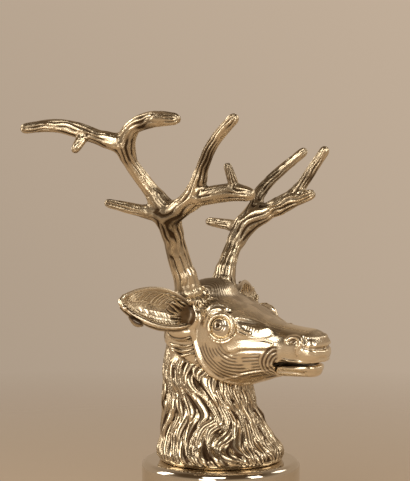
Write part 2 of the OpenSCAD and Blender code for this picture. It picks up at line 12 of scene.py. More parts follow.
import bpy
import numpy as np
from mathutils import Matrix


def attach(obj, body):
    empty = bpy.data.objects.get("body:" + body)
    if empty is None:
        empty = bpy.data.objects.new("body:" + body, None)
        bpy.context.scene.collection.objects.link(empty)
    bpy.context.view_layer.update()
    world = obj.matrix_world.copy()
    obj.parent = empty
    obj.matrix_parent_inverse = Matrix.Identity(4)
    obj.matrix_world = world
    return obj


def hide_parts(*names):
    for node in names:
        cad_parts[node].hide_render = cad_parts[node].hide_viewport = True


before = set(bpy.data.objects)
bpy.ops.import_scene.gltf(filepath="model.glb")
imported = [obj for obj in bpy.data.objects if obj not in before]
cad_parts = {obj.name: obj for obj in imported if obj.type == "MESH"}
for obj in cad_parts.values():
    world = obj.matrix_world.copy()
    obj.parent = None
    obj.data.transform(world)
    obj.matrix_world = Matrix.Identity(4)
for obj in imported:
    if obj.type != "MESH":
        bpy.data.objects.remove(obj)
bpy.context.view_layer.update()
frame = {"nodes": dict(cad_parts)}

import openvdb as vdb
from mathutils import Vector
from mathutils.bvhtree import BVHTree
from mathutils.kdtree import KDTree

LOG = logging.getLogger("stirrup_cup")
MM = 0.001
SEED = 7
BODY = "root"
MERGE_MM = 1e-4
TINY = 1e-9

# Numbers that scatter the noise and the locks
NOISE_SHIFT = 512.0
HASH_STEPS = (73856093, 19349663, 83492791)
HASH_SEED = 265443576
HASH_MIX = 1274126177
LOCK_SCATTER = (12.99, 78.23, 437.58)
LOCK_AGAIN = 17.3

# A band is where something starts and ends, or a pair of lengths
Colour = tuple[float, float, float]
Place = tuple[float, float, float]
Band = tuple[float, float]


class Side(Enum):
    """The stag's own sides."""

    LEFT = 1
    RIGHT = -1

    @property
    def word(self) -> str:
        """The side as it stands in the names of pieces."""
        return self.name.lower()


class Slot(Enum):
    """Material slots of the record."""

    POLISHED = "polished_silver"
    CHASED = "chased_silver"
    ANTLER = "antler_silver"
    STEEL = "fixing_steel"
    LEATHER = "seal_leather"


# Shader maths


class Value:
    """A number that changes over a surface, for use in plain expressions."""

    def __init__(self, plan: "Plan", socket: bpy.types.NodeSocket) -> None:
        """Wraps an output socket of a plan."""
        self.plan = plan
        self.socket = socket

    def _math(self, operation: str, first: Any, second: Any) -> "Value":
        """Adds one Math node and gives its result."""
        node = self.plan.node("ShaderNodeMath", {"operation": operation}, {0: first, 1: second})
        return Value(self.plan, node.outputs[0])

    def __add__(self, other: Any) -> "Value":
        """Sum."""
        return self._math("ADD", self, other)

    __radd__ = __add__

    def __sub__(self, other: Any) -> "Value":
        """Difference."""
        return self._math("SUBTRACT", self, other)

    def __rsub__(self, other: Any) -> "Value":
        """Difference from a number."""
        return self._math("SUBTRACT", other, self)

    def __mul__(self, other: Any) -> "Value":
        """Product."""
        return self._math("MULTIPLY", self, other)

    __rmul__ = __mul__

    def clamp(self) -> "Value":
        """The value kept between 0 and 1."""
        return self._math("MINIMUM", self._math("MAXIMUM", self, 0.0), 1.0)


class Plan:
    """A node tree that is being drawn up."""

    def __init__(self, tree: bpy.types.NodeTree) -> None:
        """Starts with an empty tree."""
        self.tree = tree
        tree.nodes.clear()

    def node(self, kind: str, settings: dict[str, Any], sockets: dict[Any, Any]) -> bpy.types.Node:
        """Adds a node.

        Args:
            kind: the node's type.
            settings: its properties, set before its sockets.
            sockets: what each input holds, a value or a link.

        Returns:
            The node.
        """
        node = self.tree.nodes.new(kind)
        for key, setting in settings.items():
            setattr(node, key, setting)
        for key, held in sockets.items():
            if isinstance(held, Value):
                held = held.socket
            if isinstance(held, bpy.types.NodeSocket):
                self.tree.links.new(held, node.inputs[key])
            else:
                node.inputs[key].default_value = held
        return node

    def value(self, kind: str, settings: dict[str, Any], sockets: dict[Any, Any], output: Any = 0) -> Value:
        """Adds a node and gives one of its outputs as a value."""
        return Value(self, self.node(kind, settings, sockets).outputs[output])

    def dot(self, first: Any, second: Any) -> Value:
        """Dot product of two vectors."""
        settings = {"operation": "DOT_PRODUCT"}
        return self.value("ShaderNodeVectorMath", settings, {0: first, 1: second}, "Value")

    def blend(self, factor: Any, low: Any, high: Any) -> Value:
        """Mixes two colours: the low one where the factor is 0 and the high one where it is 1."""
        node = self.node("ShaderNodeMix", {"data_type": "RGBA"}, {0: factor, 6: low, 7: high})
        return Value(self, node.outputs[2])


def new_material(name: str) -> tuple[bpy.types.Material, Plan]:
    """A new material, and the plan of its nodes."""
    material = bpy.data.materials.new(name)
    material.use_nodes = True
    return material, Plan(material.node_tree)


@dataclass(frozen=True)
class Silver:
    """Warm silver: bright where it is rubbed and dark in its grooves.

    The grooves come from the crest attribute of the piece, from 0 in a groove to 1 on a ridge; on some pieces
    it also holds painted shade and a painted highlight.
    """

    name: str
    bright: Colour
    dark: Colour
    polish: float
    dull: float
    grain_mm: float
    grain_depth_mm: float
    grooved: bool = True
    wear_from: float = 0.2
    wear_gain: float = 1.7
    smudge_scale: float = 90.0
    smudge_worn: float = 0.45
    smudge_dull: float = 0.06
    plain_worn: float = 0.95
    plain_smudge: float = 0.25

    def make(self) -> bpy.types.Material:
        """Draws the material up.

        Returns:
            The finished material.
        """
        material, plan = new_material(self.name)
        where = plan.value("ShaderNodeTexCoord", {}, {}, "Object")
        noise = {"noise_dimensions": "3D"}
        smudge = plan.value("ShaderNodeTexNoise", noise,
                            {"Vector": where, "Scale": self.smudge_scale, "Detail": 3.0}) - 0.5
        grain = plan.value("ShaderNodeTexNoise", noise,
                           {"Vector": where, "Scale": 1.0 / (self.grain_mm * MM), "Detail": 2.0})
        if self.grooved:
            # The crest gives patina in the grooves, and on some pieces painted shade and a painted highlight
            # too
            crest = plan.value("ShaderNodeAttribute", {"attribute_name": "crest"}, {}, "Fac")
            worn = (crest - self.wear_from) * self.wear_gain + smudge * self.smudge_worn
        else:
            worn = smudge * self.plain_smudge + self.plain_worn
        worn = worn.clamp()
        colour = plan.blend(worn, (*self.dark, 1.0), (*self.bright, 1.0))
        rough = self.dull + worn * (self.polish - self.dull) + smudge * self.smudge_dull
        bump = plan.value("ShaderNodeBump", {},
                          {"Height": grain, "Strength": 1.0, "Distance": self.grain_depth_mm * MM}, "Normal")
        shader = plan.node("ShaderNodeBsdfPrincipled", {}, {
            "Base Color": colour, "Roughness": rough.clamp(), "Metallic": 1.0, "Normal": bump})
        plan.node("ShaderNodeOutputMaterial", {}, {"Surface": shader.outputs[0]})
        return material


@dataclass(frozen=True)
class Leather:
    """Plain vegetable-tanned leather of the seal."""

    name: str = "seal leather"
    light: Colour = (0.19, 0.11, 0.06)
    dark: Colour = (0.08, 0.045, 0.025)
    pore_mm: float = 0.5
    pore_depth_mm: float = 0.1
    blotch_scale: float = 400.0
    rough: float = 0.5
    rough_spread: float = 0.3

    def make(self) -> bpy.types.Material:
        """Draws the material up."""
        material, plan = new_material(self.name)
        where = plan.value("ShaderNodeTexCoord", {}, {}, "Object")
        pores = plan.value("ShaderNodeTexVoronoi", {}, {"Vector": where, "Scale": 1.0 / (self.pore_mm * MM)})
        tone = plan.value("ShaderNodeTexNoise", {},
                          {"Vector": where, "Scale": self.blotch_scale, "Detail": 4.0})
        colour = plan.blend(tone, (*self.dark, 1.0), (*self.light, 1.0))
        bump = plan.value("ShaderNodeBump", {},
                          {"Height": pores, "Distance": self.pore_depth_mm * MM}, "Normal")
        shader = plan.node("ShaderNodeBsdfPrincipled", {}, {
            "Base Color": colour, "Roughness": self.rough + tone * self.rough_spread, "Normal": bump})
        plan.node("ShaderNodeOutputMaterial", {}, {"Surface": shader.outputs[0]})
        return material


# One silver in several copies: the face's copy is lighter, as painted light, and the polished copy of the
# cup, lip and plate is darker, as a painted dark reflection
POLISHED = Silver("polished silver", bright=(0.69, 0.625, 0.53), dark=(0.36, 0.29, 0.21),
                  polish=0.07, dull=0.22, grain_mm=6.0, grain_depth_mm=0.05, grooved=False)
EYE = Silver("polished eye silver", bright=(0.86, 0.78, 0.64), dark=(0.16, 0.105, 0.06),
             polish=0.13, dull=0.4, grain_mm=1.5, grain_depth_mm=0.02)
FACE = Silver("chased face silver", bright=(0.92, 0.81, 0.63), dark=(0.15, 0.1, 0.06),
              polish=0.2, dull=0.45, grain_mm=0.45, grain_depth_mm=0.035)
COAT = Silver("chased coat silver", bright=(0.76, 0.64, 0.46), dark=(0.09, 0.055, 0.03),
              polish=0.19, dull=0.48, grain_mm=0.6, grain_depth_mm=0.03, wear_from=0.3)
BARK = Silver("antler silver", bright=(0.77, 0.65, 0.47), dark=(0.08, 0.05, 0.026),
              polish=0.19, dull=0.5, grain_mm=0.5, grain_depth_mm=0.05)
STEEL = Silver("turned steel", bright=(0.55, 0.54, 0.52), dark=(0.3, 0.29, 0.28),
               polish=0.28, dull=0.45, grain_mm=0.4, grain_depth_mm=0.01, grooved=False)
LEATHER = Leather()


# Small maths


def unit(vectors: np.ndarray) -> np.ndarray:
    """Vectors of length one."""
    return vectors / np.maximum(np.linalg.norm(vectors, axis=-1, keepdims=True), TINY)


def ease(low: float, high: float, values: Any) -> Any:
    """Smooth step from 0 at low to 1 at high."""
    t = np.clip((np.asarray(values, float) - low) / (high - low), 0.0, 1.0)
    return t * t * (3.0 - 2.0 * t)


def ripple(phase: np.ndarray) -> np.ndarray:
    """Wave between 0 and 1, with 1 at every whole turn of the phase in radians."""
    return 0.5 + 0.5 * np.cos(phase)


def spun(x: np.ndarray, y: np.ndarray, angle: float) -> tuple[np.ndarray, np.ndarray]:
    """Places in a plane turned by an angle from x towards y."""
    return x * math.cos(angle) - y * math.sin(angle), x * math.sin(angle) + y * math.cos(angle)


def blur(rows: np.ndarray) -> None:
    """Mixes each row but the ends with its neighbours, in place."""
    rows[1:-1] = 0.25 * rows[:-2] + 0.5 * rows[1:-1] + 0.25 * rows[2:]


def cell_corners(shares: np.ndarray) -> Iterator[tuple[tuple[int, ...], np.ndarray]]:
    """Corners of a grid's cell, each with its weight at the shares of the way across the cell."""
    for corner in np.ndindex(2, 2, 2):
        yield corner, np.prod(np.where(corner, shares, 1.0 - shares), axis=1)


def spline(points: Sequence[Sequence[float]], count: int) -> np.ndarray:
    """Smooth path through points.

    Args:
        points: the points it passes, with any number of columns.
        count: how many points to give back.

    Returns:
        The path's points.
    """
    p = np.asarray(points, float)
    ends = np.concatenate([2 * p[:1] - p[1:2], p, 2 * p[-1:] - p[-2:-1]])
    t = np.linspace(0.0, len(p) - 1.0, count)
    i = np.minimum(t.astype(int), len(p) - 2)
    u = (t - i)[:, None]
    a, b, c, d = ends[i], ends[i + 1], ends[i + 2], ends[i + 3]
    bend, twist = 2 * a - 5 * b + 4 * c - d, 3 * b - a - 3 * c + d
    return 0.5 * (2 * b + (c - a) * u + bend * u ** 2 + twist * u ** 3)


def value_noise(points: np.ndarray, size: float, seed: int) -> np.ndarray:
    """Smooth noise from 0 to 1.

    Args:
        points: where to read it.
        size: distance over which it changes.
        seed: which noise.

    Returns:
        One number for each point.
    """
    p = points / size + NOISE_SHIFT
    cell = np.floor(p).astype(np.int64)
    t = p - cell
    t = t * t * (3.0 - 2.0 * t)
    total = np.zeros(len(p))
    for corner, weight in cell_corners(t):
        x, y, z = ((cell + corner) * HASH_STEPS).T
        mixed = x ^ y ^ z ^ (seed * HASH_SEED)
        mixed = ((mixed ^ (mixed >> 13)) * HASH_MIX) & 0x7FFFFFFF
        level = ((mixed ^ (mixed >> 15)) & 0xFFFF) / 65535.0
        total += level * weight
    return total


def smooth_min(a: np.ndarray, b: np.ndarray, blend: float) -> np.ndarray:
    """The smaller of two distances, with a fillet of about the blend."""
    h = np.maximum(blend - np.abs(a - b), 0.0) / blend
    return np.minimum(a, b) - h * h * blend * 0.25


def along(grid: Sequence[np.ndarray], start: np.ndarray, way: np.ndarray) -> np.ndarray:
    """How far the places of a grid lie along a way from a start."""
    return sum((line - s) * w for line, s, w in zip(grid, start, way))


def node_mesh(name: str) -> tuple[np.ndarray, np.ndarray]:
    """Mesh of a CAD node with its doubles merged.

    Args:
        name: the node.

    Returns:
        Its points in millimetres and its triangles.
    """
    mesh = frame["nodes"][name].data
    mesh.calc_loop_triangles()
    points = np.empty(len(mesh.vertices) * 3, np.float32)
    mesh.vertices.foreach_get("co", points)
    triangles = np.empty(len(mesh.loop_triangles) * 3, np.int32)
    mesh.loop_triangles.foreach_get("vertices", triangles)
    grid = np.round(points.reshape(-1, 3) / (MERGE_MM * MM)).astype(np.int64)
    kept, moved = np.unique(grid, axis=0, return_inverse=True)
    triangles = moved.reshape(-1)[triangles].reshape(-1, 3)
    return (kept * MERGE_MM).astype(np.float32), triangles.astype(np.uint32)


def make_object(name: str, points: np.ndarray, faces: np.ndarray | list[tuple[int, ...]],
                material: bpy.types.Material) -> bpy.types.Object:
    """Smooth mesh object from points in millimetres.

    Args:
        name: the object's name.
        points: its points.
        faces: numbers of the points of each face.
        material: its finish.

    Returns:
        The object, linked to the scene.
    """
    mesh = bpy.data.meshes.new(name)
    if isinstance(faces, np.ndarray):
        faces = faces.tolist()
    mesh.from_pydata((np.asarray(points, float) * MM).tolist(), [], faces)
    mesh.materials.append(material)
    mesh.polygons.foreach_set("use_smooth", np.ones(len(mesh.polygons), bool))
    mesh.update()
    piece = bpy.data.objects.new(name, mesh)
    bpy.context.scene.collection.objects.link(piece)
    return piece


def set_crest(piece: bpy.types.Object, crest: np.ndarray) -> None:
    """Stores how bright each point's silver is, from 0 to 1: high where it stands over its surroundings, with
    painted shade and a painted highlight on some pieces.
    """
    layer = piece.data.attributes.new("crest", "FLOAT", "POINT")
    layer.data.foreach_set("value", np.clip(crest, 0.0, 1.0).astype(np.float32))


def settle(piece: bpy.types.Object, slot: Slot, *nodes: str) -> bpy.types.Object:
    """Hands a finished piece over to the frame.

    Args:
        piece: the piece.
        slot: the record's slot of its finish; not used.
        nodes: the CAD nodes that it stands for.

    Returns:
        The piece.
    """
    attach(piece, BODY)
    if nodes:
        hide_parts(*nodes)
    LOG.info("%s: %d faces", piece.name, len(piece.data.polygons))
    return piece


def lathe(profile: Sequence[Sequence[float]], turns: int) -> tuple[np.ndarray, np.ndarray]:
    """Closed ring swept round the cup's axis.

    Args:
        profile: radius and height of each corner, in a closed loop.
        turns: how many steps round.

    Returns:
        Points and quads.
    """
    p = np.asarray(profile, float)
    angles = np.linspace(0.0, 2 * math.pi, turns, endpoint=False)
    points = np.stack([np.outer(np.cos(angles), p[:, 0]), np.outer(np.sin(angles), p[:, 0]),
                       np.outer(np.ones(turns), p[:, 1])], axis=-1).reshape(-1, 3)
    n = len(p)
    i, j = np.meshgrid(np.arange(turns), np.arange(n), indexing="ij")
    near, far = i * n, (i + 1) % turns * n
    step = (j + 1) % n
    return points, np.stack([near + j, far + j, far + step, near + step], axis=-1).reshape(-1, 4)


# Carving


@dataclass
class Carving:
    """A casting held as distances from its surface on a grid."""

    values: np.ndarray
    corner: np.ndarray
    voxel: float
    reach: float
    flood_rounds: int = 4
    seat_rounds: int = 5
    margin: float = 1.0
    at_middle: float = 1e-6

    @classmethod
    def of_node(cls, name: str, voxel: float, reach: float = 3.0) -> "Carving":
        """Starts from a CAD node.

        Args:
            name: the node.
            voxel: the grid's step.
            reach: how far from the surface distances are kept.

        Returns:
            The carving.
        """
        points, triangles = node_mesh(name)
        grid = vdb.FloatGrid.createLevelSetFromPolygons(
            points, triangles=triangles, transform=vdb.createLinearTransform(voxelSize=voxel),
            halfWidth=reach / voxel)
        low, high = grid.evalActiveVoxelBoundingBox()
        values = np.empty([b - a + 1 for a, b in zip(low, high)], np.float32)
        grid.copyToArray(values, ijk=low)
        return cls(values, np.array(low) * voxel, voxel, reach)

    def axes(self, low: Sequence[float] | None = None,
             high: Sequence[float] | None = None) -> tuple[tuple[slice, ...], list[np.ndarray]]:
        """Part of the grid between two corners.

        Args:
            low: lower corner, or None for the whole grid.
            high: upper corner.

        Returns:
            The slices of that part, and its x, y and z, each along its own axis.
        """
        size = np.array(self.values.shape)
        a, b = np.zeros(3, int), size
        if low is not None:
            a = np.clip(np.floor((np.asarray(low) - self.corner) / self.voxel).astype(int), 0, size)
            b = np.clip(np.ceil((np.asarray(high) - self.corner) / self.voxel).astype(int) + 1, 0, size)
        lines = [self.corner[k] + np.arange(a[k], b[k]) * self.voxel for k in range(3)]
        shaped = [line.reshape([-1 if k == m else 1 for m in range(3)]) for k, line in enumerate(lines)]
        return tuple(slice(a[k], b[k]) for k in range(3)), shaped

    def close_hollow(self, blocked: np.ndarray) -> None:
        """Fills the inside of a hollow casting, so that only its outside is carved.

        Args:
            blocked: where nothing may pass, such as the far side of a joint.
        """
        room = (self.values > 0) & ~blocked
        reached = np.zeros_like(room)
        for axis in range(3):
            edge = np.moveaxis(reached, axis, 0)
            edge[[0, -1]] = np.moveaxis(room, axis, 0)[[0, -1]]
        for _ in range(self.flood_rounds):
            for axis in range(3):
                for way in (1, -1):
                    seen = np.moveaxis(reached, axis, 0)[::way]
                    free = np.moveaxis(room, axis, 0)[::way]
                    for k in range(1, len(seen)):
                        seen[k] |= seen[k - 1] & free[k]
        self.values[room & ~reached] = -self.reach

    def soften(self, passes: int) -> None:
        """Rounds off the facets and the sharp edges."""
        for _ in range(passes):
            for axis in range(3):
                blur(np.moveaxis(self.values, axis, 0))

    def join(self, part: tuple[slice, ...], shape: np.ndarray, blend: float, sunk: bool) -> None:
        """Adds a shape to part of the casting, or cuts it away.

        Args:
            part: the slices of that part.
            shape: distances from the shape.
            blend: fillet between it and the casting.
            sunk: whether it is cut away.
        """
        way = -1 if sunk else 1
        self.values[part] = way * smooth_min(way * self.values[part], shape, blend)

    def bead(self, path: np.ndarray, radii: np.ndarray, blend: float, sunk: bool = False,
             flat: np.ndarray | None = None) -> None:
        """Adds a round bead along a path, or sinks a groove.

        Args:
            path: its points.
            radii: its radius at each point.
            blend: fillet between it and the casting.
            sunk: whether it is cut away.
            flat: the way that a flat through the path's middle faces, or None for a round bead.
        """
        middle = path.mean(axis=0)
        if flat is not None:
            path = path - np.outer((path - middle) @ flat, flat)
        margin = float(np.max(radii)) + blend + 2 * self.voxel
        part, grid = self.axes(path.min(axis=0) - margin, path.max(axis=0) + margin)
        best = np.full(self.values[part].shape, self.reach, np.float32)
        for a, b, ra, rb in zip(path, path[1:], radii, radii[1:]):
            ab = b - a
            t = np.clip(along(grid, a, ab) / max(float(ab @ ab), TINY), 0.0, 1.0)
            d = np.sqrt(sum((line - s - t * w) ** 2 for line, s, w in zip(grid, a, ab)))
            best = np.minimum(best, d - ra - t * (rb - ra))
        if flat is not None:
            best = np.maximum(best, along(grid, middle, flat))
        self.join(part, best, blend, sunk)

    def ball(self, centre: np.ndarray, radii: Sequence[float], blend: float, sunk: bool = False) -> None:
        """Adds an egg along the grid's axes, or sinks one.

        Args:
            centre: its middle.
            radii: its half sizes along x, y and z.
            blend: fillet between it and the casting.
            sunk: whether it is cut away.
        """
        size = np.asarray(radii, float)
        around = size + blend + self.margin
        part, (x, y, z) = self.axes(centre - around, centre + around)
        u, v, w = (x - centre[0]) / size[0], (y - centre[1]) / size[1], (z - centre[2]) / size[2]
        k = np.sqrt(u * u + v * v + w * w)
        g = np.sqrt((u / size[0]) ** 2 + (v / size[1]) ** 2 + (w / size[2]) ** 2)
        away = k * (k - 1.0) / np.maximum(g, self.at_middle)
        d = np.where(g > self.at_middle, away, -float(size.min()))
        self.join(part, d, blend, sunk)

    def read(self, points: np.ndarray) -> np.ndarray:
        """Distance at each of some points, smoothly between the grid's own."""
        p = (points - self.corner) / self.voxel
        cell = np.clip(np.floor(p).astype(int), 0, np.array(self.values.shape) - 2)
        total = np.zeros(len(p))
        for corner, weight in cell_corners(p - cell):
            total += self.values[tuple((cell + corner).T)] * weight
        return total

    def seat(self, points: Sequence[Sequence[float]], lift: float = 0.0) -> np.ndarray:
        """Moves points onto the surface.

        Args:
            points: where they are about.
            lift: how far over the surface they end.

        Returns:
            The moved points.
        """
        p = np.array(points, float)
        steps = np.eye(3) * self.voxel
        for _ in range(self.seat_rounds):
            way = unit(np.stack([self.read(p + s) - self.read(p - s) for s in steps], axis=1))
            p -= way * (self.read(p) - lift)[:, None]
        return p

    def relief(self, points: np.ndarray, passes: int) -> np.ndarray:
        """How far points stand out of a softened copy: above 0 on a ridge, below 0 in a groove."""
        copy = Carving(self.values.copy(), self.corner, self.voxel, self.reach)
        copy.soften(passes)
        return copy.read(points)

    def skin(self) -> tuple[np.ndarray, np.ndarray]:
        """The surface as points and quads that face outwards."""
        grid = vdb.FloatGrid(self.reach)
        grid.copyFromArray(np.clip(self.values, -self.reach, self.reach).astype(np.float32))
        points, quads = grid.convertToQuads(0.0)
        points = points.astype(float) * self.voxel + self.corner
        a, b, c = points[quads[:, 0]], points[quads[:, 1]], points[quads[:, 2]]
        if np.einsum("ij,ij->i", a, np.cross(b, c)).sum() < 0:
            quads = quads[:, ::-1]
        return points, quads.astype(int)


def point_normals(points: np.ndarray, quads: np.ndarray) -> np.ndarray:
    """Outward direction at each point of a skin."""
    across = points[quads[:, 2]] - points[quads[:, 0]]
    along = points[quads[:, 3]] - points[quads[:, 1]]
    faces = np.cross(across, along)
    normals = np.zeros_like(points)
    for k in range(4):
        np.add.at(normals, quads[:, k], faces)
    return unit(normals)


# Chased locks, as a Geometry Nodes tree


@dataclass
class Guides:
    """Paths that ridges follow, with a width and the way out of the surface at each point."""

    paths: list[np.ndarray] = field(default_factory=list)
    widths: list[np.ndarray] = field(default_factory=list)
    outs: list[np.ndarray] = field(default_factory=list)

    def add(self, path: np.ndarray, width: np.ndarray, out: np.ndarray) -> None:
        """Adds one path."""
        self.paths.append(path)
        self.widths.append(width)
        self.outs.append(out)


@dataclass(frozen=True)
class RidgeTree:
    """Turns guides into tapered ridges with few faces each."""

    name: str = "chased ridges"
    sides: int = 5
    rub_and_shade_middle: float = 0.45
    rub_and_shade_gain: float = 0.55

    def build(self) -> bpy.types.NodeTree:
        """Draws the tree up, with its sides and its finish as inputs.

        Returns:
            The tree.
        """
        tree = bpy.data.node_groups.new(self.name, "GeometryNodeTree")
        plan = Plan(tree)
        face = tree.interface
        face.new_socket("Guides", in_out="INPUT", socket_type="NodeSocketGeometry")
        face.new_socket("Sides", in_out="INPUT", socket_type="NodeSocketInt")
        face.new_socket("Finish", in_out="INPUT", socket_type="NodeSocketMaterial")
        face.new_socket("Ridges", in_out="OUTPUT", socket_type="NodeSocketGeometry")
        given = plan.node("NodeGroupInput", {}, {})
        curve = plan.value("GeometryNodeMeshToCurve", {}, {"Mesh": given.outputs["Guides"]})
        width = plan.value("GeometryNodeInputNamedAttribute", {"data_type": "FLOAT"}, {"Name": "width"})
        out = plan.value("GeometryNodeInputNamedAttribute", {"data_type": "FLOAT_VECTOR"}, {"Name": "out"})
        ring = plan.value("GeometryNodeCurvePrimitiveCircle", {},
                          {"Resolution": given.outputs["Sides"], "Radius": 1.0})
        swept = plan.value("GeometryNodeCurveToMesh", {},
                           {"Curve": curve, "Profile Curve": ring, "Scale": width, "Fill Caps": True})
        smooth = plan.value("GeometryNodeSetShadeSmooth", {}, {"Geometry": swept})
        # Light on a ridge's top, where it faces out of the surface, as rubbed wear; darker on its sides and
        # underside, partly as patina where ridges meet and partly as painted shade under them
        normal = plan.value("GeometryNodeInputNormal", {}, {})
        facing = plan.dot(normal, out)
        crest = facing * self.rub_and_shade_gain + self.rub_and_shade_middle
        marked = plan.value("GeometryNodeStoreNamedAttribute", {"data_type": "FLOAT", "domain": "POINT"},
                            {"Geometry": smooth, "Name": "crest", "Value": crest})
        real = plan.value("GeometryNodeRealizeInstances", {}, {"Geometry": marked})
        done = plan.value("GeometryNodeSetMaterial", {},
                          {"Geometry": real, "Material": given.outputs["Finish"]})
        plan.node("NodeGroupOutput", {}, {"Ridges": done})
        return tree

    def grow(self, name: str, guides: Guides, material: bpy.types.Material,
             tree: bpy.types.NodeTree) -> bpy.types.Object:
        """Makes ridges along guides.

        Args:
            name: the new object's name.
            guides: the paths.
            material: the finish.
            tree: what build gave.

        Returns:
            A plain mesh object.
        """
        counts = [len(path) for path in guides.paths]
        starts = np.cumsum([0] + counts[:-1])
        edges = [(s + k, s + k + 1) for s, n in zip(starts, counts) for k in range(n - 1)]
        source = bpy.data.meshes.new(name + "_guides")
        source.from_pydata((np.concatenate(guides.paths) * MM).tolist(), edges, [])
        width = source.attributes.new("width", "FLOAT", "POINT")
        width.data.foreach_set("value", (np.concatenate(guides.widths) * MM).astype(np.float32))
        out = source.attributes.new("out", "FLOAT_VECTOR", "POINT")
        out.data.foreach_set("vector", np.concatenate(guides.outs).astype(np.float32).reshape(-1))
        holder = bpy.data.objects.new(name + "_guides", source)
        bpy.context.scene.collection.objects.link(holder)
        modifier = holder.modifiers.new("ridges", "NODES")
        modifier.node_group = tree
        inputs = {item.name: item.identifier for item in tree.interface.items_tree if item.in_out == "INPUT"}
        modifier[inputs["Sides"]] = self.sides
        modifier[inputs["Finish"]] = material
        graph = bpy.context.evaluated_depsgraph_get()
        mesh = bpy.data.meshes.new_from_object(holder.evaluated_get(graph), depsgraph=graph)
        mesh.name = name
        holder.modifiers.remove(modifier)
        bpy.data.objects.remove(holder)
        bpy.data.meshes.remove(source)
        piece = bpy.data.objects.new(name, mesh)
        bpy.context.scene.collection.objects.link(piece)
        return piece


class Ground:
    """The surface that ridges lie on."""

    def __init__(self, skins: Iterable[tuple[np.ndarray, np.ndarray]]) -> None:
        """Joins skins into one surface to search."""
        points: list[list[float]] = []
        faces: list[list[int]] = []
        for p, q in skins:
            faces += (q + len(points)).tolist()
            points += p.tolist()
        self.tree = BVHTree.FromPolygons(points, faces)

    def nearest(self, point: np.ndarray) -> tuple[np.ndarray, np.ndarray]:
        """Nearest place on the surface, and the way out of it there."""
        place, normal, _, _ = self.tree.find_nearest(Vector(point))
        return np.array(place), np.array(normal)

    def trace(self, start: np.ndarray, flow: np.ndarray, length: float,
              steps: int) -> tuple[np.ndarray, np.ndarray]:
        """Follows one way over the surface.

        Args:
            start: where it begins, about.
            flow: the way to go.
            length: how far it goes.
            steps: in how many steps.

        Returns:
            Its points, and the ways out of the surface there.
        """
        place, out = self.nearest(start)
        places, outs = [place], [out]
        for _ in range(steps):
            way = unit(flow - out * float(flow @ out))
            place, normal = self.nearest(place + way * length / steps)
            out = unit(out + normal)
            places.append(place)
            outs.append(out)
        return np.array(places), np.array(outs)


# Pieces


@dataclass
class HeadFrame:
    """Where things are on the head: out from the middle plane, forward, and up from the eye line."""

    eye_line: float = 98.0
    joint_forward: float = -5.2
    joint_drop: float = 12.5
    joint_tilt: float = 27.0
    rim_up: tuple[float, ...] = (-20.0, -16.6, -10.3, -2.8, 4.0, 11.0)
    rim_forward: tuple[float, ...] = (11.0, 4.6, -0.4, -2.5, -2.6, -2.3)

    def at(self, side: Side, place: Sequence[float]) -> np.ndarray:
        """Place on the head as x, y and z."""
        return np.array([side.value * place[0], -place[1], self.eye_line + place[2]])

    def path(self, side: Side, places: Sequence[Sequence[float]]) -> np.ndarray:
        """Several places on the head as points."""
        return np.array([self.at(side, place) for place in places])

    def joint_height(self, forward: Any) -> Any:
        """Height of the joint with the neck, at places in front of the cup's axis."""
        slope = math.tan(math.radians(self.joint_tilt))
        return self.eye_line - self.joint_drop - (forward - self.joint_forward) * slope

    def rim(self, up: Any) -> Any:
        """How far forward the cheek's back edge lies at a height over the eye line."""
        return np.interp(up, self.rim_up, self.rim_forward)


@dataclass(frozen=True)
class Stroke:
    """A line of carving on the head, through places of out, forward and up.

    It has a radius at its start and its end, a fillet, and a lift over the surface. It is a bead, or a
    groove where it is sunk, and a flat that faces one way where faces is given.
    """

    places: tuple[Place, ...]
    start: float
    end: float
    blend: float
    lift: float = 0.0
    sunk: bool = False
    faces: Place | None = None


@dataclass(frozen=True)
class Mound:
    """An egg of metal on the head, or a hollow: its place of out, forward and up, half sizes and fillet."""

    place: Place
    radii: Place
    blend: float


@dataclass(frozen=True)
class Lid:
    """An arc of an eyelid: distances from the eye's middle and from its seat, angles, and thickness."""

    radius: float
    height: float
    start: float
    end: float
    thick: float
    sunk: bool = False


@dataclass
class Beaker:
    """The plain polished beaker with its lip wire, mouth down."""

    radius: float = 30.0
    height: float = 48.0
    wall: float = 1.2
    end: float = 1.6
    corner: float = 2.4
    inside_corner: float = 5.2
    hole: float = 2.7
    edge: float = 0.25
    wire: float = 1.2
    turns: int = 224
    arc_steps: int = 10
    wall_steps: int = 12

    def arc(self, r: float, z: float, radius: float, start: float, end: float) -> list[tuple[float, float]]:
        """Corner of a profile: centre, radius and the angles it runs between, in degrees."""
        angles = np.radians(np.linspace(start, end, self.arc_steps))
        return [(r + radius * math.cos(a), z + radius * math.sin(a)) for a in angles]

    def build(self) -> None:
        """Turns the beaker and its wire."""
        inner, top = self.radius - self.wall, self.height - self.end
        flat, side = self.radius - self.corner, self.height - self.corner
        inner_flat, inner_side = inner - self.inside_corner, top - self.inside_corner
        steps = np.linspace(0.0, 1.0, self.wall_steps)[1:-1]
        profile = [(self.radius - self.edge, 0.0), (self.radius, self.edge)]
        profile += [(self.radius, self.edge + t * (side - self.edge)) for t in steps]
        profile += self.arc(flat, side, self.corner, 0.0, 90.0)
        profile += [(self.hole + t * (flat - self.hole), self.height) for t in steps[::-1]]
        profile += [(self.hole, self.height), (self.hole, top)]
        profile += self.arc(inner_flat, inner_side, self.inside_corner, 90.0, 0.0)
        profile += [(inner, self.edge), (inner + self.edge, 0.0)]
        points, quads = lathe(profile, self.turns)
        settle(make_object("cup", points, quads, POLISHED.make()), Slot.POLISHED, "cup_body")
        ring = self.arc(self.radius, self.wire, self.wire, -90.0, 90.0)
        points, quads = lathe(ring, self.turns)
        settle(make_object("lip", points, quads, POLISHED.make()), Slot.POLISHED, "lip_wire")


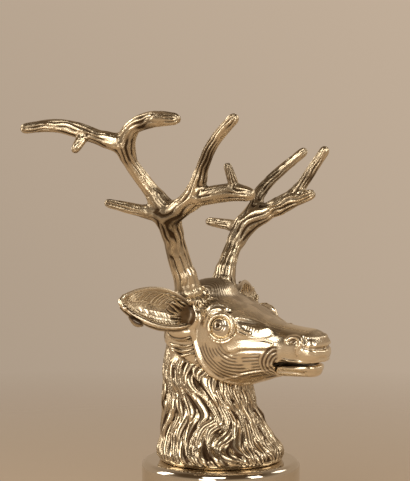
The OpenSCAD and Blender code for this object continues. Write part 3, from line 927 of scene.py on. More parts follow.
@dataclass
class Fixing:
    """The screw, washers and plate, which keep their CAD shapes."""

    steel: tuple[str, ...] = ("fixing_screw", "fixing_washer")
    leather: tuple[str, ...] = ("sealing_washer",)
    silver: tuple[str, ...] = ("neck_base_plate",)

    def build(self) -> None:
        """Gives the hidden pieces their finishes."""
        for names, material in ((self.steel, STEEL.make()), (self.leather, LEATHER.make()),
                                (self.silver, POLISHED.make())):
            for name in names:
                mesh = frame["nodes"][name].data
                mesh.materials.clear()
                mesh.materials.append(material)
                LOG.info("%s: kept from the frame", name)


@dataclass
class Eye:
    """One domed eye with a drilled pupil and rings round it."""

    head: HeadFrame
    forward: float = 10.0
    up: float = 2.6
    turn: float = 14.0
    tip_up: float = 0.1
    out: float = 16.9
    radius: float = 4.2
    rim: float = 0.65
    dome: float = 2.2
    pupil_back: float = 0.8
    pupil_up: float = 0.6
    ring_step: float = 1.15
    ring_depth: float = 0.16
    pupil_depth: float = 0.7
    pupil_size: float = 0.5
    ringed: Band = (2.4, 3.4)
    ring_dark: float = 0.75
    base_crest: float = 0.4
    under: float = 0.2
    rings: int = 40
    spokes: int = 72

    def axes(self, side: Side) -> tuple[np.ndarray, np.ndarray, np.ndarray, np.ndarray]:
        """Seat of the eye, with its ways out, forward and up."""
        turn = math.radians(self.turn)
        out = unit(np.array([side.value * math.cos(turn), -math.sin(turn), self.tip_up]))
        up = unit(np.array([0.0, 0.0, 1.0]) - out * out[2])
        forward = -side.value * np.cross(up, out)
        return self.head.at(side, (self.out, self.forward, self.up)), out, forward, up

    def arc(self, side: Side, radius: float, height: float, start: float, end: float,
            count: int = 15) -> np.ndarray:
        """Arc round the eye.

        Args:
            side: which eye.
            radius: distance from the eye's middle.
            height: distance out from its seat.
            start: first angle, from forward towards up.
            end: last angle.
            count: how many points.

        Returns:
            The arc's points.
        """
        seat, out, forward, up = self.axes(side)
        a = np.radians(np.linspace(start, end, count))[:, None]
        return seat + out * height + radius * (np.cos(a) * forward + np.sin(a) * up)

    def build(self, side: Side, material: bpy.types.Material) -> None:
        """Turns one eye and drills its pupil."""
        seat, out, forward, up = self.axes(side)
        sphere = (self.radius ** 2 + self.dome ** 2) / (2 * self.dome)
        r = self.radius * np.linspace(0.0, 1.0, self.rings + 1)[1:]
        a = np.linspace(0.0, 2 * math.pi, self.spokes, endpoint=False)
        f = np.concatenate([[0.0], np.outer(r, np.cos(a)).ravel()])
        u = np.concatenate([[0.0], np.outer(r, np.sin(a)).ravel()])
        height = self.rim + np.sqrt(sphere ** 2 - f * f - u * u) - (sphere - self.dome)
        near = np.hypot(f + self.pupil_back, u - self.pupil_up)
        wave = ripple(2 * math.pi * near / self.ring_step)
        inside = 1.0 - ease(*self.ringed, near)
        pit = np.exp(-((near / self.pupil_size) ** 2))
        height = height - inside * self.ring_depth * (1.0 - wave) - pit * self.pupil_depth
        points = seat + f[:, None] * forward + u[:, None] * up + height[:, None] * out
        base = points[-self.spokes:] - out * (self.rim + self.under)
        crest = 1.0 - inside * (1.0 - wave) * self.ring_dark - pit
        skin = np.concatenate([points, base])
        piece = make_object(f"eyeball_{side.word}", skin, self.faces(side), material)
        set_crest(piece, np.concatenate([crest, np.full(self.spokes, self.base_crest)]))
        settle(piece, Slot.POLISHED, f"eye_{side.word}")

    def faces(self, side: Side) -> list[tuple[int, ...]]:
        """Faces of the eye, which face outwards: its middle, its rings and its flat back."""
        n = self.spokes
        after = [(k + 1) % n for k in range(n)]
        faces: list[tuple[int, ...]] = [(0, 1 + k, 1 + after[k]) for k in range(n)]
        for ring in range(self.rings):
            inner, outer = 1 + ring * n, 1 + (ring + 1) * n
            faces += [(inner + k, outer + k, outer + after[k], inner + after[k]) for k in range(n)]
        last = 1 + self.rings * n
        faces.append(tuple(range(last, last + n))[::-1])
        return [face[:1] + face[:0:-1] for face in faces] if side is Side.LEFT else faces


@dataclass
class Head:
    """The cast head: cheeks, lids, brows, muzzle and upper lip."""

    frame: HeadFrame
    eye: Eye
    coat: "Coat"
    voxel: float = 0.335
    smooth: int = 5
    joint_over: float = 0.3
    front: float = 44.85
    # Hair at the back: how deep it is set, and where it starts behind the cheek and over the joint
    hair_depth: float = 0.4
    hair_share: float = 0.8
    set_from: Band = (0.4, 1.4)
    hair_from: Band = (0.2, 1.6)
    hair_over: Band = (0.6, 2.6)
    bare_tilt: Band = (0.5, 0.8)
    # Mounds and hollows
    nose_pad: Mound = Mound((0.0, 40.6, -2.2), (5.4, 3.6, 2.3), 0.8)
    poll: Mound = Mound((0.0, -3.8, 14.0), (11.0, 8.0, 4.7), 3.0)
    ear_root: Mound = Mound((15.6, -7.8, -0.1), (3.2, 5.8, 3.3), 1.4)
    brow_pit: Mound = Mound((12.5, 10.6, 8.2), (1.7, 1.6, 1.2), 0.6)
    pit_lift: float = 0.2
    antler_collar: Mound = Mound((12.5, -6.5, 11.4), (6.4, 6.4, 2.5), 1.5)
    # Small curls between the snout's planes
    curls: int = 5
    curl_from: Place = (13.2, 17.4, 3.2)
    curl_step: Place = (-0.4, 0.9, -0.25)
    curl_shape: tuple[Place, ...] = ((0.0, 0.0, 0.0), (-0.3, 0.8, -0.5), (-0.4, 0.6, -1.4))
    curl_radii: Band = (0.32, 0.2)
    curl_blend: float = 0.3
    curl_lift: float = 0.05
    curl_points: int = 7
    # Eyelids
    lids: tuple[Lid, ...] = (Lid(5.0, 0.5, -45.0, 50.0, 0.95, True), Lid(4.5, 1.6, 205.0, -38.0, 0.8),
                             Lid(4.75, 1.2, 200.0, 338.0, 0.5), Lid(5.85, 0.7, 214.0, 326.0, 0.5))
    lid_swell: Band = (0.12, 0.95)
    lid_blend: float = 0.35
    lid_points: int = 15
    # Chased lines: their step and depth, and where each field of them starts and ends
    chase_step: float = 1.35
    chase_depth: float = 0.17
    sharp: float = 1.2
    wobble: float = 0.7
    cheek_middle: Band = (15.0, -2.5)
    cheek_open: float = 0.02
    cheek_rings: Band = (4.4, 6.0)
    cheek_back: Band = (0.8, 2.0)
    cheek_front: Band = (25.4, 27.0)
    cheek_top: Band = (-5.0, -3.0)
    cheek_foot: Band = (-18.0, -16.5)
    mouth_corner: Band = (30.2, -11.0)
    mouth_rings: Band = (1.8, 2.6)
    mouth_end: Band = (6.8, 8.2)
    mouth_front: Band = (28.4, 29.6)
    mouth_foot: Band = (-15.5, -14.5)
    top_tilt: Band = (0.35, 0.6)
    top_back: Band = (-17.0, -13.0)
    top_front: Band = (27.0, 32.0)
    poll_front: Band = (2.0, 7.0)
    nose_from: Band = (39.0, 40.0)
    nose_foot: Band = (-3.4, -2.6)
    nose_half: float = 6.5
    nose_root: float = 36.0
    nose_step: float = 7.0
    nose_share: float = 0.7
    top_share: float = 0.42
    poll_more: float = 0.2
    poll_deeper: float = 1.5
    poll_wave: float = 1.2
    poll_wave_mm: float = 2.2
    poll_stray: float = 3.0
    # Noise that breaks the lines: its grain, its seed and the levels between which it lets them show
    wobble_mm: float = 5.0
    cheek_noise: tuple[float, int] = (2.6, 3)
    cheek_shown: Band = (0.25, 0.5)
    top_noise: tuple[float, int] = (3.4, 5)
    top_shown: Band = (0.3, 0.55)
    poll_noise: tuple[float, int] = (7.0, 7)
    little: float = 0.05
    # Strokes: points along them, and where on a sine's arch a thin end and a full end lie
    stroke_points: int = 18
    thin_ends: Band = (0.1, 0.9)
    full_end: float = 0.5
    # How rubbed the bare silver is, with patina in its chased lines, painted shade on the palate's
    # downward-facing underside and painted shade on the brow's upward-facing top
    relief_steps: int = 8
    rubbed: float = 0.74
    relief_gain: float = 1.2
    groove_dark: float = 0.6
    palate_shade: float = 0.6
    brow_shade: float = 0.17
    shade_tilt: Band = (0.3, 0.7)
    palate_from: Band = (29.0, 31.0)
    palate_end: Band = (36.0, 40.0)
    brow_front: Band = (18.0, 24.0)
    hair_rubbed: float = 0.85
    strokes: tuple[Stroke, ...] = (
        # Broad planes of the snout's side, with the crease between them and the one under them
        Stroke(((12.5, 21.2, -0.2), (10.9, 23.2, 0.7), (9.6, 25.4, 1.2)), 1.5, 1.7, 0.7, -0.05, False,
               (0.88, 0.33, 0.34)),
        Stroke(((15.5, 13.6, -5.0), (15.0, 15.8, -4.3), (13.4, 20.0, -4.0), (11.6, 24.2, -3.9),
                (10.7, 26.6, -3.9)), 1.9, 1.0, 0.6, 0.2, False, (0.94, 0.34, 0.1)),
        Stroke(((15.2, 15.4, -2.2), (13.4, 20.0, -2.0), (11.6, 24.2, -1.9), (10.4, 27.6, -2.4)),
               0.42, 0.25, 0.4, 0.1, True),
        Stroke(((16.2, 11.5, -7.8), (15.3, 15.7, -6.6), (12.9, 21.2, -6.1), (10.1, 28.3, -5.8)),
               0.4, 0.3, 1.0, 0.2, True),
        # Ridge from the eye over the snout, and the hollow under it
        Stroke(((13.8, 14.2, 6.2), (11.8, 15.8, 5.8), (9.5, 18.2, 5.2), (7.9, 21.0, 4.3), (7.4, 23.6, 3.2)),
               0.75, 0.4, 1.0, -0.05),
        Stroke(((13.6, 15.4, 4.9), (11.6, 17.8, 4.2), (9.9, 20.3, 3.5)), 0.6, 0.35, 0.7, 0.15, True),
        # Outer lid, which runs on into the fold at the eye's front corner, and the fold beside it
        Stroke(((16.5, 2.7, 2.6), (16.5, 4.1, 5.6), (16.6, 8.0, 7.4), (16.1, 12.3, 6.5), (15.3, 15.7, 2.9),
                (14.2, 18.1, 1.3), (13.4, 19.9, 0.6)), 0.6, 0.3, 0.6, 0.2),
        Stroke(((15.9, 13.2, 3.4), (15.3, 15.0, 1.3), (14.4, 17.4, 0.1), (13.8, 18.9, -0.4)),
               0.45, 0.25, 0.5, 0.25),
        # Brow and the wrinkles under it
        Stroke(((15.6, 2.9, 8.3), (14.1, 3.9, 9.7), (12.3, 5.3, 10.3), (11.0, 7.3, 10.0), (11.0, 8.6, 9.4)),
               0.8, 0.8, 0.8, 0.0),
        Stroke(((16.2, 4.0, 7.2), (15.1, 5.5, 8.4), (13.8, 7.6, 8.6), (13.8, 9.7, 7.9)),
               0.65, 0.55, 0.5, 0.05),
        # Back edge of the cheek and the lower edge of the jaw
        Stroke(((15.6, -1.9, 11.5), (16.2, -2.3, 3.6), (16.0, -2.1, -2.8), (15.6, -0.9, -8.0),
                (14.6, 1.4, -13.6), (12.4, 5.6, -17.4), (9.0, 10.8, -19.4), (4.5, 15.8, -19.6)),
               0.65, 0.6, 1.4, 0.05),
        Stroke(((12.6, 8.6, -18.0), (12.6, 13.6, -17.3), (11.6, 19.1, -16.2), (9.9, 25.9, -15.0)),
               0.3, 0.45, 0.7, 0.1),
        # Nostril, the hollow in front of it, and its wing that runs down to the lip
        Stroke(((8.8, 33.7, -2.4), (8.5, 34.9, -1.9), (8.3, 35.9, -1.5)), 1.05, 0.6, 0.3, 0.0, True),
        Stroke(((7.5, 38.7, 0.2), (7.2, 39.2, -1.8), (7.3, 39.0, -3.6)), 0.9, 0.8, 0.6, 0.15, True),
        Stroke(((9.0, 32.4, -1.8), (8.8, 33.7, -0.2), (8.4, 35.6, 0.3), (8.0, 37.2, -0.9), (7.8, 37.8, -3.1),
                (8.0, 36.9, -4.8), (8.1, 36.9, -6.6)), 0.75, 0.6, 0.8, 0.05),
        # Edge of the nose
        Stroke(((6.7, 39.9, -0.5), (5.2, 41.9, -0.4), (3.3, 43.3, -0.4), (0.0, 44.0, -0.5)),
               0.5, 0.5, 0.5, -0.05),
        # Upper lip: its lobe, the groove between it and the nose, and its rim
        Stroke(((6.6, 39.6, -6.6), (4.6, 42.0, -6.7), (2.2, 43.4, -6.7), (0.0, 43.8, -6.7)),
               1.5, 1.5, 0.6, -1.1),
        Stroke(((7.4, 38.8, -4.5), (5.8, 41.4, -4.6), (3.5, 43.2, -4.7), (0.0, 44.3, -4.8)),
               0.75, 0.8, 0.4, -0.1, True),
        Stroke(((9.2, 31.2, -9.0), (8.6, 34.4, -9.4), (8.0, 37.0, -9.3), (6.5, 40.0, -8.6), (4.3, 42.4, -8.2),
                (0.0, 43.4, -8.0)), 0.5, 0.65, 0.5, 0.15),
        # Flesh behind the corner of the mouth, and the corner
        Stroke(((9.4, 24.8, -11.4), (9.0, 27.0, -11.5), (8.4, 29.6, -12.2)), 1.3, 0.6, 0.8, -0.6),
        Stroke(((9.2, 29.9, -10.9), (8.8, 32.4, -10.5)), 0.45, 0.9, 0.4, 0.1, True),
    )

    def carve(self) -> Carving:
        """Carves the head, up to where its skin is taken."""
        work = Carving.of_node("head_shell", self.voxel)
        _, (_, y, z) = work.axes()
        under = z < self.frame.joint_height(-y) + self.joint_over
        work.close_hollow(np.broadcast_to(under, work.values.shape))
        work.soften(self.smooth)
        behind = ease(*self.set_from, self.frame.rim(z - self.frame.eye_line) + y)
        work.values += (self.hair_depth * behind).astype(np.float32)
        for mound in (self.nose_pad, self.poll):
            work.ball(self.frame.at(Side.LEFT, mound.place), mound.radii, mound.blend)
        for side in Side:
            self.carve_side(work, side)
        work.values = np.maximum(work.values, (-self.front - y).astype(np.float32))
        return work

    def carve_side(self, work: Carving, side: Side) -> None:
        """Carves what each side of the head has.

        Args:
            work: the carving.
            side: which side.
        """
        at = self.frame.at
        root, pit, collar = self.ear_root, self.brow_pit, self.antler_collar
        work.ball(at(side, root.place), root.radii, root.blend)
        for stroke in self.strokes:
            self.carve_stroke(work, side, stroke)
        work.ball(work.seat([at(side, pit.place)], self.pit_lift)[0], pit.radii, pit.blend, True)
        work.ball(at(side, collar.place), collar.radii, collar.blend)
        radii = np.linspace(*self.curl_radii, self.curl_points)
        for k in range(self.curls):
            places = np.array(self.curl_from) + k * np.array(self.curl_step) + np.array(self.curl_shape)
            path = spline(self.frame.path(side, places), self.curl_points)
            work.bead(work.seat(path, self.curl_lift), radii, self.curl_blend)
        swell = np.sin(np.linspace(*self.lid_swell, self.lid_points) * math.pi) ** 0.5
        for lid in self.lids:
            path = self.eye.arc(side, lid.radius, lid.height, lid.start, lid.end, self.lid_points)
            work.bead(path, lid.thick * swell, self.lid_blend, lid.sunk)

    def carve_stroke(self, work: Carving, side: Side, stroke: Stroke) -> None:
        """Carves one stroke, thin at its ends unless it is a flat or runs to the middle of the head.

        Args:
            work: the carving.
            side: which side of the head.
            stroke: what to carve.
        """
        path = work.seat(spline(self.frame.path(side, stroke.places), self.stroke_points), stroke.lift)
        flat = None
        first, last = self.thin_ends
        if stroke.faces is not None:
            flat = unit(self.frame.at(side, stroke.faces) - self.frame.at(side, (0.0, 0.0, 0.0)))
            first = self.full_end
        if flat is not None or stroke.places[-1][0] == 0.0:
            last = self.full_end
        taper = np.sin(math.pi * np.linspace(first, last, len(path))) ** 0.5
        radii = np.linspace(stroke.start, stroke.end, len(path)) * taper
        work.bead(path, radii, stroke.blend, stroke.sunk, flat)

    def lines(self, points: np.ndarray, normals: np.ndarray) -> tuple[np.ndarray, np.ndarray]:
        """Fine chased lines of the cheek, the mouth's corner, the nose and the forehead.

        Args:
            points: points of the head's skin.
            normals: ways out of it.

        Returns:
            How deep each point is cut, and how much of a line it lies in, from 0 to 1.
        """
        out, f, u = np.abs(points[:, 0]), -points[:, 1], points[:, 2] - self.frame.eye_line
        wobble = self.wobble * (value_noise(points, self.wobble_mm, SEED) - 0.5)
        ahead, over = f - self.cheek_middle[0], u - self.cheek_middle[1]
        cheek = np.hypot(np.maximum(-ahead, 0.0), over * (1.0 + self.cheek_open * np.maximum(ahead, 0.0)))
        on_cheek = ease(*self.cheek_rings, cheek) * ease(*self.cheek_back, f - self.frame.rim(u))
        on_cheek *= 1.0 - ease(*self.cheek_front, f)
        on_cheek *= (1.0 - ease(*self.cheek_top, u)) * ease(*self.cheek_foot, u)
        on_cheek *= ease(*self.cheek_shown, value_noise(points, *self.cheek_noise))
        mouth = np.hypot(f - self.mouth_corner[0], u - self.mouth_corner[1])
        on_mouth = ease(*self.mouth_rings, mouth) * (1.0 - ease(*self.mouth_end, mouth))
        on_mouth *= (1.0 - ease(*self.mouth_front, f)) * ease(*self.mouth_foot, u)
        on_top = ease(*self.top_tilt, normals[:, 2]) * ease(*self.top_back, f)
        on_top *= 1.0 - ease(*self.top_front, f)
        on_poll = 1.0 - ease(*self.poll_front, f)
        on_top *= np.maximum(on_poll, ease(*self.top_shown, value_noise(points, *self.top_noise)))
        on_nose = ease(*self.nose_from, f) * ease(*self.nose_foot, u) * (out < self.nose_half)
        ridge = np.degrees(np.arctan2(out, f - self.nose_root)) / self.nose_step
        rings = np.where(on_mouth > self.little, mouth, cheek) / self.chase_step + wobble
        phase = np.where(on_nose > self.little, ridge, rings)
        groove = ripple(2 * math.pi * phase) ** self.sharp
        on_rest = np.maximum(on_mouth, self.nose_share * on_nose)
        share = groove * np.maximum(on_cheek * (1.0 - on_mouth), on_rest)
        sweep = np.sin(f / self.poll_wave_mm + self.poll_stray * value_noise(points, *self.poll_noise))
        wave = 2.0 * wobble + on_poll * self.poll_wave * sweep
        hairs = ripple(2 * math.pi * (out / self.chase_step + wave)) ** self.sharp
        share = np.maximum(share, (self.top_share + self.poll_more * on_poll) * hairs * on_top)
        deeper = 1.0 + on_mouth + self.poll_deeper * on_top * on_poll
        return share * self.chase_depth * deeper, share

    def hairy(self, points: np.ndarray, normals: np.ndarray) -> np.ndarray:
        """How much hair the head has at points, from 0 on the face to 1 behind the cheeks.

        Args:
            points: points of the head's skin.
            normals: ways out of it.

        Returns:
            One share for each point.
        """
        f, z = -points[:, 1], points[:, 2]
        share = ease(*self.hair_from, self.frame.rim(z - self.frame.eye_line) - f)
        share = share * (1.0 - self.coat.under_ear(points))
        share = share * ease(*self.hair_over, z - self.frame.joint_height(f))
        return share * (1.0 - ease(*self.bare_tilt, normals[:, 2]) * ease(*self.top_back, f))

    def build(self) -> tuple[np.ndarray, np.ndarray]:
        """Carves the head and dresses it.

        Returns:
            Points and quads of its skin.
        """
        work = self.carve()
        points, quads = work.skin()
        relief = work.relief(points, self.relief_steps)
        normals = point_normals(points, quads)
        cut, groove = self.lines(points, normals)
        hair = self.hairy(points, normals)
        height, rubbed = self.coat.locks(points)
        points = points + normals * (hair * self.hair_share * height - cut)[:, None]
        piece = make_object("head", points, quads, FACE.make())
        f, tilt = -points[:, 1], normals[:, 2]
        # Painted shade: the palate's underside, which faces down, and the brow's top, which faces up, are
        # darkened
        palate = ease(*self.shade_tilt, -tilt) * ease(*self.palate_from, f) * (1.0 - ease(*self.palate_end, f))
        brow = ease(*self.shade_tilt, tilt) * (1.0 - ease(*self.brow_front, f))
        plain = self.rubbed + self.relief_gain * relief - self.groove_dark * groove
        plain = plain - self.palate_shade * palate - self.brow_shade * brow
        set_crest(piece, plain + hair * (self.hair_rubbed * rubbed - plain))
        settle(piece, Slot.CHASED, "head_shell")
        return points, quads


@dataclass
class Jaw:
    """The lower jaw with its lip, the fold under the lip and the chin."""

    frame: HeadFrame
    voxel: float = 0.22
    smooth: int = 16
    lip: tuple[Place, ...] = ((7.3, 28.4, -12.3), (7.2, 32.0, -12.2), (6.6, 36.2, -12.1), (5.2, 39.4, -12.1),
                              (3.0, 41.0, -12.2), (0.0, 41.5, -12.3))
    lip_radius: float = 0.95
    lip_swell: Band = (-0.25, 0.45)
    lip_blend: float = 1.2
    lip_points: int = 18
    fold: tuple[Place, ...] = ((6.8, 27.6, -13.8), (6.0, 33.0, -13.8), (4.6, 37.6, -13.9))
    fold_radii: Band = (0.35, 0.5)
    fold_blend: float = 0.5
    fold_lift: float = 0.1
    fold_points: int = 12
    chin: Mound = Mound((0.0, 38.9, -13.6), (4.2, 2.9, 1.9), 0.9)
    relief_steps: int = 8
    rubbed: float = 0.74
    relief_gain: float = 1.2
    # Painted shade inside the mouth: how dark it is, and the tilt, front and half width of where it lies
    mouth_shade: float = 0.7
    inside_tilt: Band = (0.3, 0.7)
    inside_front: Band = (36.5, 39.0)
    inside_half: Band = (4.6, 6.0)

    def build(self) -> None:
        """Carves the jaw and paints shade into the inside of the mouth."""
        work = Carving.of_node("lower_jaw", self.voxel)
        work.soften(self.smooth)
        swell = self.lip_radius * ease(*self.lip_swell, np.linspace(0.0, 1.0, self.lip_points))
        fold_radii = np.linspace(*self.fold_radii, self.fold_points)
        for side in Side:
            work.bead(spline(self.frame.path(side, self.lip), self.lip_points), swell, self.lip_blend)
            fold = work.seat(spline(self.frame.path(side, self.fold), self.fold_points), self.fold_lift)
            work.bead(fold, fold_radii, self.fold_blend, True)
        work.ball(self.frame.at(Side.LEFT, self.chin.place), self.chin.radii, self.chin.blend)
        points, quads = work.skin()
        # Painted shade on the jaw's upward-facing top inside the mouth, behind its front and near its middle
        inside = ease(*self.inside_tilt, point_normals(points, quads)[:, 2])
        inside = inside * (1.0 - ease(*self.inside_front, -points[:, 1]))
        inside = inside * (1.0 - ease(*self.inside_half, np.abs(points[:, 0])))
        piece = make_object("jaw", points, quads, FACE.make())
        relief = work.relief(points, self.relief_steps)
        set_crest(piece, self.rubbed + self.relief_gain * relief - self.mouth_shade * inside)
        settle(piece, Slot.CHASED, "lower_jaw")


@dataclass
class NeckFrame:
    """Where things are on the neck: share of its height, and angle round it from the throat."""

    foot: float = 48.0
    height: float = 37.5
    tilt: float = 27.0
    set_back: float = 5.2
    shares: tuple[float, ...] = (0.0, 0.107, 0.25, 0.42, 0.68, 1.0)
    backs: tuple[float, ...] = (0.0, 0.0, 0.30, 0.55, 0.96, 1.0)
    half_widths: tuple[float, ...] = (23.5, 23.5, 20.5, 18.5, 16.05, 15.0)
    half_lengths: tuple[float, ...] = (23.5, 23.5, 21.1, 19.5, 18.1, 17.75)
    tilts: tuple[float, ...] = (0.0, 0.0, 0.12, 0.28, 0.60, 1.0)
    span: Band = (-0.2, 2.0)
    halvings: int = 16

    def behind(self, s: np.ndarray, y: np.ndarray) -> tuple[np.ndarray, np.ndarray]:
        """How far places lie behind the middle of the ring at share s, and that ring's tilt."""
        tilt = np.radians(self.tilt * np.interp(s, self.shares, self.tilts))
        return y - self.set_back * np.interp(s, self.shares, self.backs), tilt

    def locate(self, points: np.ndarray) -> tuple[np.ndarray, np.ndarray]:
        """Share of the height and angle from the throat.

        Args:
            points: points of the neck, or of the head over it.

        Returns:
            Both for each point, the angle in degrees from 0 at the throat to 180 at the nape.
        """
        y, z = points[:, 1], points[:, 2]
        low, high = (np.full(len(points), end) for end in self.span)
        for _ in range(self.halvings):
            s = (low + high) / 2
            back, tilt = self.behind(s, y)
            over = self.foot + s * self.height + back * np.tan(tilt) > z
            low, high = np.where(over, low, s), np.where(over, s, high)
        back, tilt = self.behind(s, y)
        along = back / np.cos(tilt) / np.interp(s, self.shares, self.half_lengths)
        across = np.abs(points[:, 0]) / np.interp(s, self.shares, self.half_widths)
        return s, np.degrees(np.arctan2(across, -along))


@dataclass
class Coat:
    """The chased coat: rows of overlapping locks that run down the neck in long waves.

    The lanes and rows are those of the main locks of the cast neck.
    """

    frame: HeadFrame
    neck: NeckFrame = field(default_factory=NeckFrame)
    # Run of the lanes down the neck, with the swirl at its middle
    lanes: float = 2.0 * math.pi * 39.0 / 8.5
    row: float = 7.2
    turn: float = 10.0
    sway: float = 9.0
    waves: float = 1.4
    whorl: float = 0.65
    whorl_share: float = 0.46
    whorl_around: float = 62.0
    whorl_width: float = 18.0
    whorl_turn: float = 0.07
    stray_across: float = 0.6
    stray_across_mm: float = 9.0
    stray_along: float = 1.1
    stray_along_mm: float = 13.0
    # One lock: its length in rows, its half width in lanes, its height and the grooves along it
    overlap: float = 1.25
    overlap_least: float = 0.7
    overlap_range: float = 0.6
    half: float = 0.54
    half_end: float = 0.02
    narrows: Band = (0.35, 1.02)
    bend: float = 0.75
    lift: float = 0.85
    lift_least: float = 0.75
    lift_range: float = 0.5
    rises: Band = (0.0, 0.55)
    sinks: Band = (0.6, 1.0)
    sink: float = 0.35
    sunk: float = 0.85
    groove: float = 0.5
    groove_floor: float = 0.35
    groove_rise: float = 0.65
    groove_round: float = 0.6
    strands: float = 3.0
    broad_strands: float = 1.5
    broad_share: float = 0.4
    edge: Band = (0.62, 1.0)
    root: Band = (-0.02, 0.1)
    tip: Band = (0.93, 1.0)
    dark: float = 0.15
    bright: float = 0.85
    rows_over: int = 4
    # Sagging strokes under an ear
    chevrons: int = 5
    chevron_middle: Place = (17.0, -9.2, -2.9)
    chevron_step: float = 1.75
    chevron_half: float = 6.0
    chevron_sag: float = 1.3
    chevron_wave: float = 0.2
    chevron_lift: float = 0.25
    chevron_width: float = 0.6
    chevron_end: float = 0.1
    chevron_points: int = 15
    chevron_smooth: int = 4
    under_half: Band = (5.4, 7.6)
    under_foot: Band = (-12.4, -11.0)
    under_top: Band = (3.0, 4.0)
    under_out: Band = (6.0, 9.0)
    # Tufts round an antler's foot
    antler_seat: Place = (12.5, -6.5, 13.5)
    tuft_step: int = 18
    tuft_stray: float = 6.0
    tuft_reach: float = 5.0
    tuft_drop: float = 1.0
    tuft_out: float = 0.8
    tuft_down: Place = (0.0, -0.35, -0.8)
    tuft_length: Band = (4.5, 6.5)
    tuft_turns: float = 1.3
    tuft_aside: float = 0.08
    tuft_ridges: int = 2
    tuft_width: float = 0.5
    tuft_widths: Band = (0.88, 1.08)
    tuft_narrows: Band = (0.35, 1.05)
    tuft_close: float = 0.6
    tuft_curl: float = 0.5
    tuft_curls: Band = (0.1, 0.6)
    tuft_rises: Band = (0.0, 0.35)
    tuft_end: float = 0.12
    steps: int = 10
    ridge: float = 0.62
    gap: float = 1.35

    def lane(self, points: np.ndarray) -> tuple[np.ndarray, np.ndarray]:
        """Place in the coat.

        Args:
            points: points of the ground.

        Returns:
            For each point its place in locks across and in rows along.
        """
        s, around = self.neck.locate(points)
        sway = self.turn * s + self.sway * np.sin(2 * math.pi * self.waves * s)
        across = self.lanes * (around - sway * np.sin(np.radians(around))) / 360.0
        near = np.exp(-(((around - self.whorl_around) / self.whorl_width) ** 2))
        across = across + self.whorl * near * np.tanh((s - self.whorl_share) / self.whorl_turn)
        across = across + self.stray_across * (value_noise(points, self.stray_across_mm, SEED) - 0.5)
        stray = self.stray_along * (value_noise(points, self.stray_along_mm, SEED + 2) - 0.5)
        return across, s * self.neck.height / self.row + stray

    def lock(self, across: np.ndarray, along: np.ndarray, row: np.ndarray,
             number: np.ndarray) -> tuple[np.ndarray, np.ndarray]:
        """One lock at places in the coat.

        Args:
            across: places in locks across.
            along: places in rows along.
            row: the lock's row.
            number: its number in that row.

        Returns:
            For each place the lock's height over the ground, and how rubbed it is there, from 0 to 1.
        """
        by_number, by_row, gain = LOCK_SCATTER
        chance = np.mod(np.sin(number * by_number + row * by_row) * gain, 1.0)
        other = np.mod(chance * LOCK_AGAIN, 1.0)
        t = (row + 1.0 - along) / (1.0 + self.overlap * (self.overlap_least + self.overlap_range * other))
        half = self.half * (1.0 - ease(*self.narrows, t)) ** 0.7 + self.half_end
        lean = self.bend * (chance - 0.5) * np.sin(math.pi * (0.2 + 1.1 * t)) * 2.0 * t
        v = np.abs(across - 0.5 * np.mod(row, 2.0) - number - 0.5 - lean) / half
        body = self.lift * ease(*self.rises, t) * (1.0 - self.sink * ease(*self.sinks, t))
        body = body * (self.lift_least + self.lift_range * other)
        strands = np.where(other > 1.0 - self.broad_share, self.broad_strands, self.strands)
        ridge = ripple(math.pi * strands * v) ** self.groove_round
        dome = (1.0 - ease(*self.edge, v)) * ease(*self.root, t) * (1.0 - ease(*self.tip, t))
        height = body + self.groove * (self.groove_floor + self.groove_rise * ridge)
        return dome * height, dome * (self.dark + self.bright * ridge)

    def locks(self, points: np.ndarray) -> tuple[np.ndarray, np.ndarray]:
        """Relief of the coat: at each place the highest of the locks that reach it.

        Args:
            points: points of the ground.

        Returns:
            For each point its height over the ground, and how rubbed it is, from 0 to 1.
        """
        across, along = self.lane(points)
        height, rubbed = np.zeros(len(points)), np.zeros(len(points))
        for up in range(self.rows_over):
            row = np.floor(along) + up
            number = np.floor(across - 0.5 * np.mod(row, 2.0))
            for aside in (-1.0, 0.0, 1.0):
                rise, worn = self.lock(across, along, row, number + aside)
                higher = rise > height
                height = np.where(higher, rise, height)
                rubbed = np.where(higher, worn, rubbed)
        return height - self.sunk, rubbed

    def tuft(self, guides: Guides, ground: Ground, start: np.ndarray, flow: np.ndarray, length: float,
             rng: np.random.Generator) -> None:
        """Lays one small tuft of free ridges.

        Args:
            guides: what its ridges are added to.
            ground: the surface under it.
            start: its root.
            flow: the way it runs.
            length: how long it is.
            rng: where its small differences come from.
        """
        path, outs = ground.trace(start, flow, length, self.steps)
        t = np.linspace(0.0, 1.0, self.steps + 1)
        across = unit(np.cross(outs, unit(np.gradient(path, axis=0))))
        spread = 1.0 - self.tuft_close * ease(*self.tuft_narrows, t)
        taper = np.sin(math.pi * (0.14 + 0.84 * t)) ** 0.5 * (1.0 - 0.25 * t)
        taper[-1] = self.tuft_end
        scale = self.tuft_width / self.ridge
        turns = np.sin(2.0 * self.tuft_turns * math.pi * t + rng.uniform(0.0, 3.0))
        curl = self.tuft_curl * turns * ease(*self.tuft_curls, t)
        for k in range(self.tuft_ridges):
            place = k - (self.tuft_ridges - 1) / 2
            side = place * self.gap * scale * spread + curl + rng.normal(0.0, self.tuft_aside)
            rise = -0.35 + 0.5 * ease(*self.tuft_rises, t) + 0.2 * t - 0.1 * place * place
            ridge = path + across * side[:, None] + outs * (scale * rise)[:, None]
            guides.add(ridge, self.tuft_width * rng.uniform(*self.tuft_widths) * taper, outs)

